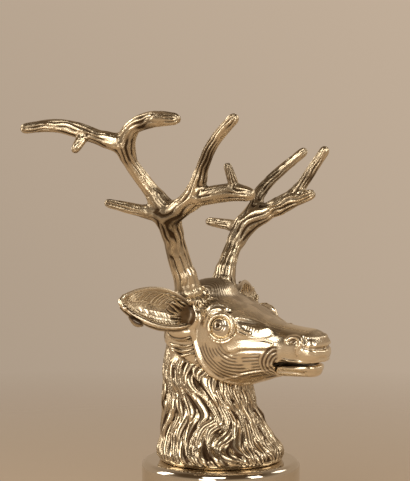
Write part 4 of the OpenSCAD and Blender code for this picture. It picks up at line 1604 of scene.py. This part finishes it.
    def chevron(self, guides: Guides, ground: Ground, side: Side, k: int) -> None:
        """Lays one of the sagging strokes under an ear."""
        t = np.linspace(-1.0, 1.0, self.chevron_points)
        out, forward, top = self.chevron_middle
        up = top - self.chevron_step * k + self.chevron_sag * np.abs(t) ** 1.5
        up = up + self.chevron_wave * np.sin(5.0 * t + k)
        places = np.stack([np.full(self.chevron_points, out), forward + self.chevron_half * t, up], axis=1)
        found = [ground.nearest(self.frame.at(side, place)) for place in places]
        outs = np.array([f[1] for f in found])
        line = np.array([f[0] for f in found])
        for _ in range(self.chevron_smooth):
            blur(line)
            outs[1:-1] = unit(outs[:-2] + outs[1:-1] + outs[2:])
        width = self.chevron_width * (1.0 - np.abs(t) ** 4) + self.chevron_end
        guides.add(line + outs * self.chevron_lift, width, outs)

    def under_ear(self, points: np.ndarray) -> np.ndarray:
        """How much points lie where the sagging strokes are, from 0 to 1."""
        forward, up = -points[:, 1], points[:, 2] - self.frame.eye_line
        wide = 1.0 - ease(*self.under_half, np.abs(forward - self.chevron_middle[1]))
        tall = ease(*self.under_foot, up) * (1.0 - ease(*self.under_top, up))
        return wide * tall * ease(*self.under_out, np.abs(points[:, 0]))

    def tufts(self, guides: Guides, ground: Ground, rng: np.random.Generator) -> None:
        """Lays the short hair round the antlers' feet."""
        for side in Side:
            foot = self.frame.at(side, self.antler_seat)
            for turn in range(0, 360, self.tuft_step):
                angle = math.radians(turn + rng.uniform(-self.tuft_stray, self.tuft_stray))
                round_foot = np.array([math.cos(angle), math.sin(angle), 0.0])
                start = foot + self.tuft_reach * round_foot - np.array([0.0, 0.0, self.tuft_drop])
                down = self.tuft_out * round_foot + np.array(self.tuft_down)
                self.tuft(guides, ground, start, down, rng.uniform(*self.tuft_length), rng)

    def build(self, ground: Ground, tree: bpy.types.NodeTree) -> None:
        """Lays the free ridges of the coat: the sagging strokes and the tufts."""
        rng = np.random.default_rng(SEED)
        guides = Guides()
        for side in Side:
            for k in range(self.chevrons):
                self.chevron(guides, ground, side, k)
        self.tufts(guides, ground, rng)
        settle(RidgeTree().grow("coat", guides, COAT.make(), tree), Slot.CHASED)


@dataclass
class Neck:
    """The cast neck with its chased coat and a plain foot."""

    frame: HeadFrame
    coat: Coat
    voxel: float = 0.33
    foot: float = 48.0
    foot_plain: Band = (1.2, 2.2)
    end: float = 0.4
    smooth: int = 12
    joint_under: float = 0.8
    under_head: float = 1.6
    bare_tilt: float = 0.8
    rubbed: float = 0.85

    def run_on(self, work: Carving) -> None:
        """Carries the neck on past the joint, so that the coat runs in under the head."""
        _, (_, y, z) = work.axes()
        joint = self.frame.joint_height(-y)
        under = joint - self.joint_under
        level = np.round((under - z.ravel()[0]) / work.voxel).astype(int)
        level = np.clip(level, 0, work.values.shape[2] - 1)
        level = np.broadcast_to(level, (*work.values.shape[:2], 1))
        top = np.take_along_axis(work.values, level, axis=2)
        above = np.maximum(top, (z - joint - self.under_head).astype(np.float32))
        work.values = np.where(z > under, above, work.values).astype(np.float32)

    def build(self) -> tuple[np.ndarray, np.ndarray]:
        """Carves the neck and dresses it.

        Returns:
            Points and quads of its skin.
        """
        work = Carving.of_node("neck_shell", self.voxel)
        _, (_, y, z) = work.axes()
        ends = (z > self.frame.joint_height(-y) - self.end) | (z < self.foot + self.end)
        work.close_hollow(np.broadcast_to(ends, work.values.shape))
        self.run_on(work)
        work.soften(self.smooth)
        points, quads = work.skin()
        normals = point_normals(points, quads)
        height, rubbed = self.coat.locks(points)
        over_foot = ease(*self.foot_plain, points[:, 2] - self.foot)
        plain = np.maximum(self.coat.under_ear(points), 1.0 - over_foot)
        hair = (1.0 - plain) * (np.abs(normals[:, 2]) < self.bare_tilt)
        points = points + normals * (hair * height)[:, None]
        piece = make_object("neck", points, quads, COAT.make())
        set_crest(piece, self.rubbed + hair * (rubbed - self.rubbed))
        settle(piece, Slot.CHASED, "neck_shell")
        return points, quads


@dataclass
class Ear:
    """A leaf-shaped ear with a hatched rim and hair in its hollow."""

    head: HeadFrame
    length: float = 35.0
    width: float = 19.0
    thick: float = 1.5
    sweep: float = 14.0
    rise: dict[Side, float] = field(default_factory=lambda: {Side.LEFT: 5.0, Side.RIGHT: 14.0})
    roll: float = 20.0
    seat: Place = (17.0, -4.0, 5.4)
    curl_root: float = 105.0
    curl_tip: float = 43.0
    set_back: float = 0.3
    outline_run: Band = (0.09, 0.9)
    outline_lean: float = 0.75
    outline_round: float = 0.8
    voxel: float = 0.22
    smooth: int = 3
    relief_steps: int = 10
    relief_gain: float = 0.9
    # Rims along the lower and the upper edge, and the bead across the tip
    rims: Band = (0.3, 0.55)
    rim_run: Band = (0.03, 0.985)
    rim_thins: Band = (0.75, 1.0)
    rim_thinner: float = 0.75
    rim_blend: float = 0.3
    rim_points: int = 24
    tip: float = 0.94
    tip_radius: float = 0.55
    tip_blend: float = 0.9
    tip_points: int = 9
    # Flat facets in the lower half of the hollow
    facets: Band = (-0.55, -0.2)
    facet_ways: Place = (0.17, -0.843, 0.508)
    facet_run: Band = (0.28, 0.9)
    facet_radius: float = 1.7
    facet_height: float = 0.4
    facet_blend: float = 0.6
    facet_points: int = 12
    # How bright the leaf is painted, found on a net of places along and across it: a painted highlight on its
    # lower half and painted shade in its root
    net: tuple[int, int] = (30, 21)
    rubbed_least: float = 0.5
    lower_highlight: float = 0.35
    highlight_half: Band = (-0.2, 0.4)
    root_least: float = 0.2
    root_more: float = 0.8
    root_shade: Band = (0.03, 0.3)
    # Hair: how many ridges lie where, and between which shares of the leaf their ends stray
    ridge_points: int = 8
    seat_from: float = 1.6
    out_step: float = 0.4
    hatch: int = 22
    fine: int = 44
    fine_from: Band = (-0.72, -0.45)
    fine_to: Band = (-0.1, 0.35)
    fine_slant: Band = (0.04, 0.09)
    fine_width: Band = (0.16, 0.28)
    upper: int = 25
    upper_slant: Band = (0.07, 0.11)
    upper_reach: Band = (0.4, 0.7)
    root_ridges: int = 9
    root_reach: Band = (0.22, 0.36)
    root_hatch: int = 4
    middle: int = 6
    middle_from: Band = (0.25, 0.4)
    middle_to: Band = (0.75, 0.92)
    fringe: dict[Side, int] = field(default_factory=lambda: {Side.LEFT: 0, Side.RIGHT: 3})
    back: int = 12
    back_starts: tuple[float, ...] = (0.06, 0.34, 0.62)
    back_stray: float = 0.05
    back_aside: float = 0.03

    def on_leaf(self, side: Side, s: Any, share: Any, height: Any) -> np.ndarray:
        """Places on an ear's leaf.

        Args:
            side: which ear.
            s: share of the length, from root to tip.
            share: across the leaf, from -1 at the lower rim to 1 at the upper.
            height: distance out of the hollow's surface.

        Returns:
            The places.
        """
        s, share, height = np.broadcast_arrays(*(np.asarray(v, float) for v in (s, share, height)))
        first, run = self.outline_run
        bulge = np.sin(math.pi * (first + run * s) ** self.outline_lean)
        leaf = self.width / 2 * bulge ** self.outline_round
        curl = np.radians(self.curl_root + (self.curl_tip - self.curl_root) * s)
        r = leaf / curl
        a = share * curl
        x = -(r - height) * np.sin(a)
        y = self.set_back * leaf - (r - (r - height) * np.cos(a))
        z = self.thick + s * (self.length - self.thick)
        x, y = spun(x, y, math.radians(-self.roll))
        rise, sweep = math.radians(self.rise[side]), math.radians(self.sweep)
        way = np.array([math.cos(sweep) * math.cos(rise), math.sin(sweep) * math.cos(rise), math.sin(rise)])
        z, x = spun(z, x, math.acos(way[2]))
        x, y = spun(x, y, math.atan2(way[1], way[0]))
        seat = self.head.at(Side.LEFT, self.seat)
        return np.stack([(x + seat[0]) * side.value, y + seat[1], z + seat[2]], axis=-1)

    def rubbed(self, side: Side, points: np.ndarray) -> np.ndarray:
        """How bright the leaf is painted: painted shade in its root, and a painted highlight on its lower
        half.

        Args:
            side: which ear.
            points: points of its skin.

        Returns:
            One level for each point.
        """
        rows, columns = self.net
        s, share = np.meshgrid(np.linspace(0.0, 1.0, rows), np.linspace(-1.0, 1.0, columns), indexing="ij")
        along, across = s.ravel(), share.ravel()
        tree = KDTree(len(along))
        for k, place in enumerate(self.on_leaf(side, along, across, -self.thick / 2)):
            tree.insert(place, k)
        tree.balance()
        near = [tree.find(point)[1] for point in points]
        # Painted highlight on the lower half of the leaf, and painted shade towards its root
        low = 1.0 - ease(*self.highlight_half, across[near])
        past_root = self.root_least + self.root_more * ease(*self.root_shade, along[near])
        return (self.rubbed_least + self.lower_highlight * low) * past_root

    def stroke(self, guides: Guides, side: Side, s: np.ndarray, share: np.ndarray, height: np.ndarray,
               width: np.ndarray) -> None:
        """Adds one ridge that lies on the leaf."""
        path = self.on_leaf(side, s, share, height)
        out = unit(self.on_leaf(side, s, share, height + 0.3) - path)
        guides.add(path, width, out * np.sign(height.mean() + 0.6))

    def seated(self, guides: Guides, work: Carving, side: Side, s: np.ndarray, share: np.ndarray, lift: float,
               width: np.ndarray) -> None:
        """Adds one ridge that lies on the carved hollow, on its facets too."""
        path = work.seat(self.on_leaf(side, s, share, self.seat_from), lift)
        guides.add(path, width, unit(self.on_leaf(side, s, share, self.seat_from + self.out_step) - path))

    def ridge_run(self) -> tuple[np.ndarray, np.ndarray]:
        """Shares along a ridge, from 0 to 1, and how it swells between its ends."""
        t = np.linspace(0.0, 1.0, self.ridge_points)
        return t, np.sin(math.pi * (0.12 + 0.8 * t)) ** 0.6

    def hatch_lower(self, guides: Guides, work: Carving, side: Side, rng: np.random.Generator) -> None:
        """Hatches the lower rim and the facets beside it.

        Args:
            guides: what the ridges are added to.
            work: the carved ear.
            side: which ear.
            rng: where their small differences come from.
        """
        t, swell = self.ridge_run()
        for s in 0.1 + 0.82 * np.linspace(0.0, 1.0, self.hatch):
            self.seated(guides, work, side, s=s + 0.035 * t, share=-0.97 + 0.4 * t, lift=0.2,
                        width=(0.5 + 0.2 * s) * swell)
        for s in np.linspace(0.2, 0.9, self.fine):
            begin, end = rng.uniform(*self.fine_from), rng.uniform(*self.fine_to)
            self.seated(guides, work, side, s=s + rng.uniform(*self.fine_slant) * t,
                        share=begin + (end - begin) * t, lift=-0.02,
                        width=rng.uniform(*self.fine_width) * swell)

    def hatch_upper(self, guides: Guides, side: Side, rng: np.random.Generator) -> None:
        """Hatches the upper rim."""
        t, swell = self.ridge_run()
        for s in np.linspace(0.16, 0.8, self.upper):
            self.stroke(guides, side, s=s + rng.uniform(*self.upper_slant) * t,
                        share=0.93 - rng.uniform(*self.upper_reach) * t, height=0.06 * swell,
                        width=0.3 * swell)

    def hair_hollow(self, guides: Guides, side: Side, rng: np.random.Generator) -> None:
        """Lays the hair at the root, along the middle and over the lower edge."""
        t, swell = self.ridge_run()
        for share in np.linspace(-0.7, 0.8, self.root_ridges):
            end = rng.uniform(*self.root_reach)
            aside = 0.06 * np.sin(5 * t + 9 * share)
            self.stroke(guides, side, s=-0.02 + end * t, share=share * (0.75 + 0.3 * t) + aside,
                        height=0.75 - 0.7 * t + 0.1 * swell, width=0.55 * swell)
        for s in np.linspace(0.05, 0.3, self.root_hatch):
            self.stroke(guides, side, s=s + 0.09 * t, share=0.96 - 0.12 * t, height=0.25 * swell,
                        width=0.5 * swell)
        for share in np.linspace(-0.5, 0.3, self.middle):
            start, end = rng.uniform(*self.middle_from), rng.uniform(*self.middle_to)
            self.stroke(guides, side, s=start + (end - start) * t, share=share + 0.05 * np.sin(4 * t),
                        height=-0.12 + 0 * t, width=0.25 * swell)
        for k in range(self.fringe[side]):
            self.stroke(guides, side, s=0.66 + 0.17 * t + 0.03 * k, share=-0.8 - 0.16 * k - 0.1 * t,
                        height=-2.3 - 0.9 * np.sin(math.pi * t), width=0.75 * swell)

    def hair_back(self, guides: Guides, side: Side, rng: np.random.Generator) -> None:
        """Lays the ridges of the back."""
        t, swell = self.ridge_run()
        for share in np.linspace(-0.85, 0.85, self.back):
            for start in self.back_starts:
                begin = start + rng.uniform(-self.back_stray, self.back_stray)
                aside = rng.uniform(-self.back_aside, self.back_aside)
                self.stroke(guides, side, s=begin + 0.32 * t, share=share * (1 - 0.1 * t) + aside,
                            height=-self.thick - 0.1 - 0.15 * t, width=0.55 * swell)

    def carve(self, side: Side) -> Carving:
        """Carves one ear with its rims and facets."""
        work = Carving.of_node(f"ear_{side.word}", self.voxel)
        work.soften(self.smooth)
        s = np.linspace(*self.rim_run, self.rim_points)
        taper = 1.0 - self.rim_thinner * ease(*self.rim_thins, s)
        within = -self.thick / 2
        for share, rim in zip((-1.0, 1.0), self.rims):
            work.bead(self.on_leaf(side, s, share, within), rim * taper, self.rim_blend)
        across = np.linspace(-1.0, 1.0, self.tip_points)
        radii = np.full(self.tip_points, self.tip_radius)
        work.bead(self.on_leaf(side, self.tip, across, within), radii, self.tip_blend)
        flat = unit(np.array(self.facet_ways) * (side.value, 1.0, 1.0))
        run = np.linspace(*self.facet_run, self.facet_points)
        radii = self.facet_radius * np.sin(math.pi * (0.15 + 0.75 * run)) ** 0.5
        for share in self.facets:
            path = self.on_leaf(side, run, share, self.facet_height)
            work.bead(path, radii, self.facet_blend, flat=flat)
        return work

    def build(self, side: Side, tree: bpy.types.NodeTree, rng: np.random.Generator) -> None:
        """Carves one ear and lays its hair."""
        work = self.carve(side)
        points, quads = work.skin()
        piece = make_object(f"ear_leaf_{side.word}", points, quads, FACE.make())
        relief = work.relief(points, self.relief_steps)
        set_crest(piece, self.rubbed(side, points) + self.relief_gain * relief)
        settle(piece, Slot.CHASED, f"ear_{side.word}")
        guides = Guides()
        self.hatch_lower(guides, work, side, rng)
        self.hatch_upper(guides, side, rng)
        self.hair_hollow(guides, side, rng)
        self.hair_back(guides, side, rng)
        settle(RidgeTree().grow(f"ear_hair_{side.word}", guides, COAT.make(), tree), Slot.CHASED)


@dataclass(frozen=True)
class Web:
    """Metal that fills a fork, through places of out, forward and up in hundredths of the antler's height."""

    places: tuple[Place, ...]
    radii: tuple[float, ...]


@dataclass
class Antler:
    """A cast antler with a flared foot, filled forks and furrows that run along its beam and tines."""

    head: HeadFrame
    seat: Place = (12.5, -6.5, 13.5)
    height: float = 67.0
    lean: float = 17.0
    foot: tuple[float, ...] = (5.1, 4.7, 4.2, 4.0)
    foot_from: float = 0.6
    foot_step: float = 2.2
    foot_blend: float = 1.0
    voxel: float = 0.28
    smooth: int = 4
    relief_steps: int = 6
    # Bark: furrows along the limb, which fade in places, and fine cracks between them
    furrows: int = 10
    narrow: float = 0.75
    sway: float = 0.6
    sway_mm: float = 4.4
    faded: float = 0.35
    unfaded: float = 0.65
    fades: Band = (0.3, 0.55)
    unsure: Band = (0.45, 0.85)
    crack_mm: float = 1.7
    crack_run: float = 6.0
    crack_steps: int = 13
    crack_share: float = 0.32
    crack_width: float = 0.4
    depth: float = 0.55
    level: float = 0.9
    cell: float = 2.5
    # How rubbed the bark is
    rubbed_least: float = 0.04
    height_gain: float = 0.72
    relief_gain: float = 0.6
    patch_gain: float = 0.7
    patch_mm: float = 7.0
    web_blend: float = 2.0
    webs: dict[Side, tuple[Web, ...]] = field(default_factory=lambda: {
        Side.RIGHT: (Web(((13.0, -3.0, 35.0), (20.0, -2.0, 46.0), (22.3, -6.5, 53.0)), (3.7, 4.7, 3.3)),
                     Web(((19.5, -2.0, 44.0), (22.5, 8.0, 49.0), (24.5, 15.0, 53.0)), (4.5, 3.5, 3.2)),
                     Web(((34.0, -18.5, 78.0), (36.8, -18.5, 84.0), (38.0, -14.5, 89.0)), (2.8, 3.5, 2.6)),
                     Web(((36.5, -19.0, 83.0), (41.0, -27.0, 86.0)), (3.4, 2.7)),
                     Web(((25.0, 16.0, 53.0), (26.5, 19.5, 56.5), (28.5, 24.0, 65.0)), (3.3, 3.7, 2.4))),
        Side.LEFT: (Web(((14.0, 2.0, 28.0), (19.0, 4.5, 36.5), (23.5, 8.0, 43.5)), (3.3, 3.9, 3.2)),
                    Web(((18.5, 4.5, 36.0), (23.5, 12.0, 41.5)), (3.8, 3.5)),
                    Web(((26.8, 23.0, 47.0), (28.5, 28.5, 51.0), (30.0, 33.0, 56.0)), (3.2, 3.0, 2.3)))})

    def limb_ways(self, points: np.ndarray, normals: np.ndarray) -> tuple[np.ndarray, np.ndarray]:
        """Way that the limb runs at each point, which its surface turns round.

        Args:
            points: points of the skin.
            normals: ways out of it.

        Returns:
            One way for each point, and how sure it is, from 0 to 1.
        """
        low = points.min(axis=0) - 2 * self.cell
        index = np.floor((points - low) / self.cell).astype(int)
        size = index.max(axis=0) + 3
        turns = np.zeros((*size, 3, 3))
        np.add.at(turns, tuple(index.T), normals[:, :, None] * normals[:, None, :])
        for axis in range(3):
            turns = turns + np.roll(turns, 1, axis) + np.roll(turns, -1, axis)
        place = (points - low) / self.cell - 0.5
        corner = np.floor(place).astype(int)
        mixed = np.zeros((len(points), 3, 3))
        for step, weight in cell_corners(place - corner):
            mixed += weight[:, None, None] * turns[tuple((corner + step).T)]
        spread, ways = np.linalg.eigh(mixed)
        return ways[:, :, 0], 1.0 - ease(*self.unsure, spread[:, 0] / spread[:, 1])

    def bark(self, points: np.ndarray, normals: np.ndarray) -> np.ndarray:
        """Height of the bark, from 0 in its furrows to 1 on its ridges.

        Args:
            points: points of the skin.
            normals: ways out of it.

        Returns:
            One height for each point.
        """
        ways, sure = self.limb_ways(points, normals)
        swung = np.stack([value_noise(points, self.sway_mm, SEED + k) - 0.5 for k in range(3)], axis=1)
        swung = unit(normals + self.sway * swung)
        first = unit(np.cross(ways, (1.0, 0.0, 0.0)))
        second = np.cross(ways, first)
        angle = np.arctan2((swung * second).sum(axis=1), (swung * first).sum(axis=1))
        furrow = np.exp(-(1.0 + np.cos(self.furrows * angle)) / self.narrow)
        fade = ease(*self.fades, value_noise(points, self.sway_mm, SEED + 3))
        furrow = furrow * sure * (self.faded + self.unfaded * fade)
        steps = np.linspace(-self.crack_run, self.crack_run, self.crack_steps)[:, None, None] * ways
        streak = np.mean([value_noise(points + step, self.crack_mm, SEED + 4) for step in steps], axis=0)
        level = (streak - streak.mean()) / streak.std()
        return 1.0 - np.maximum(furrow, self.crack_share * np.exp(-((level / self.crack_width) ** 2)))

    def build(self, side: Side, material: bpy.types.Material) -> None:
        """Carves one antler."""
        work = Carving.of_node(f"antler_{side.word}", self.voxel)
        work.soften(self.smooth)
        lean = math.radians(self.lean)
        axis = np.array([side.value * math.sin(lean), 0.0, math.cos(lean)])
        rises = self.foot_step * np.arange(len(self.foot)) + self.foot_from
        path = self.head.at(side, self.seat) + rises[:, None] * axis
        work.bead(path, np.array(self.foot), self.foot_blend)
        for web in self.webs[side]:
            places = np.array(self.seat) + np.array(web.places) * self.height / 100
            work.bead(self.head.path(side, places), np.array(web.radii), self.web_blend)
        points, quads = work.skin()
        normals = point_normals(points, quads)
        height = self.bark(points, normals)
        relief = work.relief(points, self.relief_steps)
        points = points + normals * (self.depth * (height - self.level))[:, None]
        piece = make_object(f"antler_cast_{side.word}", points, quads, material)
        patch = value_noise(points, self.patch_mm, SEED + 5) - 0.5
        crest = self.rubbed_least + self.height_gain * height
        set_crest(piece, crest + self.relief_gain * relief + self.patch_gain * patch)
        settle(piece, Slot.ANTLER, f"antler_{side.word}")


@dataclass(frozen=True)
class Lamp:
    """A soft lamp: its name, its place and its width and height in metres, and its power in watts."""

    name: str
    place: Place
    size: Band
    watts: float

    def hang(self, aim: Place, colour: Colour) -> None:
        """Hangs the lamp in a colour, so that it faces the place it aims at."""
        data = bpy.data.lights.new(self.name, "AREA")
        data.shape = "RECTANGLE"
        data.size, data.size_y = self.size
        data.energy = self.watts
        data.color = colour
        lamp = bpy.data.objects.new(self.name, data)
        lamp.location = self.place
        lamp.rotation_euler = (Vector(aim) - Vector(self.place)).to_track_quat("-Z", "Y").to_euler()
        bpy.context.scene.collection.objects.link(lamp)


@dataclass
class Studio:
    """Camera, floor, world and lamps."""

    distance: float = 0.63
    camera_height: float = 0.173
    azimuth: float = -60.0
    aim: Place = (-0.003, 0.0052, 0.131)
    frame_height: float = 0.1813
    sensor: float = 36.0
    backdrop: Colour = (0.489, 0.386, 0.290)
    shade: Colour = (0.1, 0.064, 0.034)
    fill: Colour = (0.45, 0.345, 0.245)
    floor_colour: Colour = (0.72, 0.59, 0.455)
    floor_radius: float = 1.6
    floor_hole: float = 0.001
    floor_spokes: int = 96
    fade_from: float = 0.12
    fade_gain: float = 2.2
    clip: Band = (0.01, 20.0)
    # Shade of the room: in front of the cup and above it
    front_gain: float = 1.1
    front_least: float = 0.5
    over_gain: float = 3.0
    over_least: float = 0.2
    front_share: float = 0.9
    top_from: float = 0.4
    top_gain: float = 1.2
    # Tone of the backdrop: brighter to the right and higher up
    tone_aside: float = 0.45
    tone_up: float = 0.5
    # Lamps
    warm: Colour = (1.0, 0.94, 0.84)
    lit: Place = (0.0, 0.0, 0.1)
    lamps: tuple[Lamp, ...] = (Lamp("key", (-0.74, -0.26, 0.67), (0.5, 0.4), 2.9),
                               Lamp("window", (-0.77, -0.15, 0.11), (0.32, 0.2), 1.0),
                               Lamp("far side", (0.63, -0.49, 0.62), (0.35, 0.3), 0.8),
                               Lamp("side", (-0.35, 0.75, 0.42), (0.25, 0.6), 2.4),
                               Lamp("front", (-0.1, -0.9, 0.5), (0.3, 0.5), 2.4))

    def camera(self) -> None:
        """Stands the camera where the photograph was taken from."""
        turn = math.radians(self.azimuth)
        place = Vector((self.distance * math.sin(turn), -self.distance * math.cos(turn), self.camera_height))
        view = Vector(self.aim) - place
        data = bpy.data.cameras.new("camera")
        data.sensor_width = self.sensor
        data.lens = self.sensor * view.length / self.frame_height
        data.clip_start, data.clip_end = self.clip
        camera = bpy.data.objects.new("camera", data)
        camera.location = place
        camera.rotation_euler = view.to_track_quat("-Z", "Y").to_euler()
        bpy.context.scene.collection.objects.link(camera)
        bpy.context.scene.camera = camera

    def world(self) -> None:
        """Paints the room: the backdrop's colour behind the cup and a darker room in front of it."""
        world = bpy.data.worlds.new("room")
        bpy.context.scene.world = world
        world.use_nodes = True
        plan = Plan(world.node_tree)
        turn = math.radians(self.azimuth)
        to_camera = (math.sin(turn), -math.cos(turn), 0.0)
        way = plan.value("ShaderNodeTexCoord", {}, {}, "Generated")
        facing = plan.dot(way, to_camera)
        height = plan.value("ShaderNodeSeparateXYZ", {}, {"Vector": way}, "Z")
        front = (facing * self.front_gain + self.front_least).clamp()
        over = (height * self.over_gain + self.over_least).clamp()
        dark = (front * over * self.front_share + (height - self.top_from) * self.top_gain).clamp()
        room = plan.blend(dark, (*self.fill, 1.0), (*self.shade, 1.0))
        aside = plan.dot(way, (math.cos(turn), math.sin(turn), 0.0))
        tone = aside * self.tone_aside + height * self.tone_up + 1.0
        scaled = {0: self.backdrop, "Scale": tone}
        behind = plan.value("ShaderNodeVectorMath", {"operation": "SCALE"}, scaled, "Vector")
        seen = plan.value("ShaderNodeLightPath", {}, {}, "Is Camera Ray")
        colour = plan.blend(seen, room, behind)
        light = plan.node("ShaderNodeBackground", {}, {"Color": colour, "Strength": 1.0})
        plan.node("ShaderNodeOutputWorld", {}, {"Surface": light.outputs[0]})

    def floor(self) -> None:
        """Lays a plain floor that fades into the backdrop."""
        points, quads = lathe(((self.floor_hole, 0.0), (self.floor_radius / MM, 0.0)), self.floor_spokes)
        material, plan = new_material("floor")
        where = plan.value("ShaderNodeTexCoord", {}, {}, "Object")
        away = plan.value("ShaderNodeVectorMath", {"operation": "LENGTH"}, {0: where}, "Value")
        fade = ((away - self.fade_from) * self.fade_gain).clamp()
        matte = plan.node("ShaderNodeBsdfDiffuse", {}, {"Color": (*self.floor_colour, 1.0)})
        clear = plan.node("ShaderNodeBsdfTransparent", {}, {})
        mixed = plan.node("ShaderNodeMixShader", {}, {0: fade, 1: matte.outputs[0], 2: clear.outputs[0]})
        plan.node("ShaderNodeOutputMaterial", {}, {"Surface": mixed.outputs[0]})
        floor = make_object("floor", points, quads[::2], material)

    def build(self) -> None:
        """Sets the studio up."""
        bpy.context.scene.view_settings.view_transform = "Standard"
        self.camera()
        self.world()
        self.floor()
        for lamp in self.lamps:
            lamp.hang(self.lit, self.warm)


def main() -> None:
    """Builds every piece in order."""
    logging.basicConfig(level=logging.INFO, format="%(name)s %(message)s")
    head_frame = HeadFrame()
    eye = Eye(head_frame)
    Beaker().build()
    Fixing().build()
    coat = Coat(head_frame)
    neck_skin = Neck(head_frame, coat).build()
    head_skin = Head(head_frame, eye, coat).build()
    Jaw(head_frame).build()
    eye_silver, bark = EYE.make(), BARK.make()
    tree = RidgeTree().build()
    rng = np.random.default_rng(SEED)
    for side in Side:
        eye.build(side, eye_silver)
        Ear(head_frame).build(side, tree, rng)
        Antler(head_frame).build(side, bark)
    coat.build(Ground([neck_skin, head_skin]), tree)
    Studio().build()


if __name__ == "__main__":
    main()
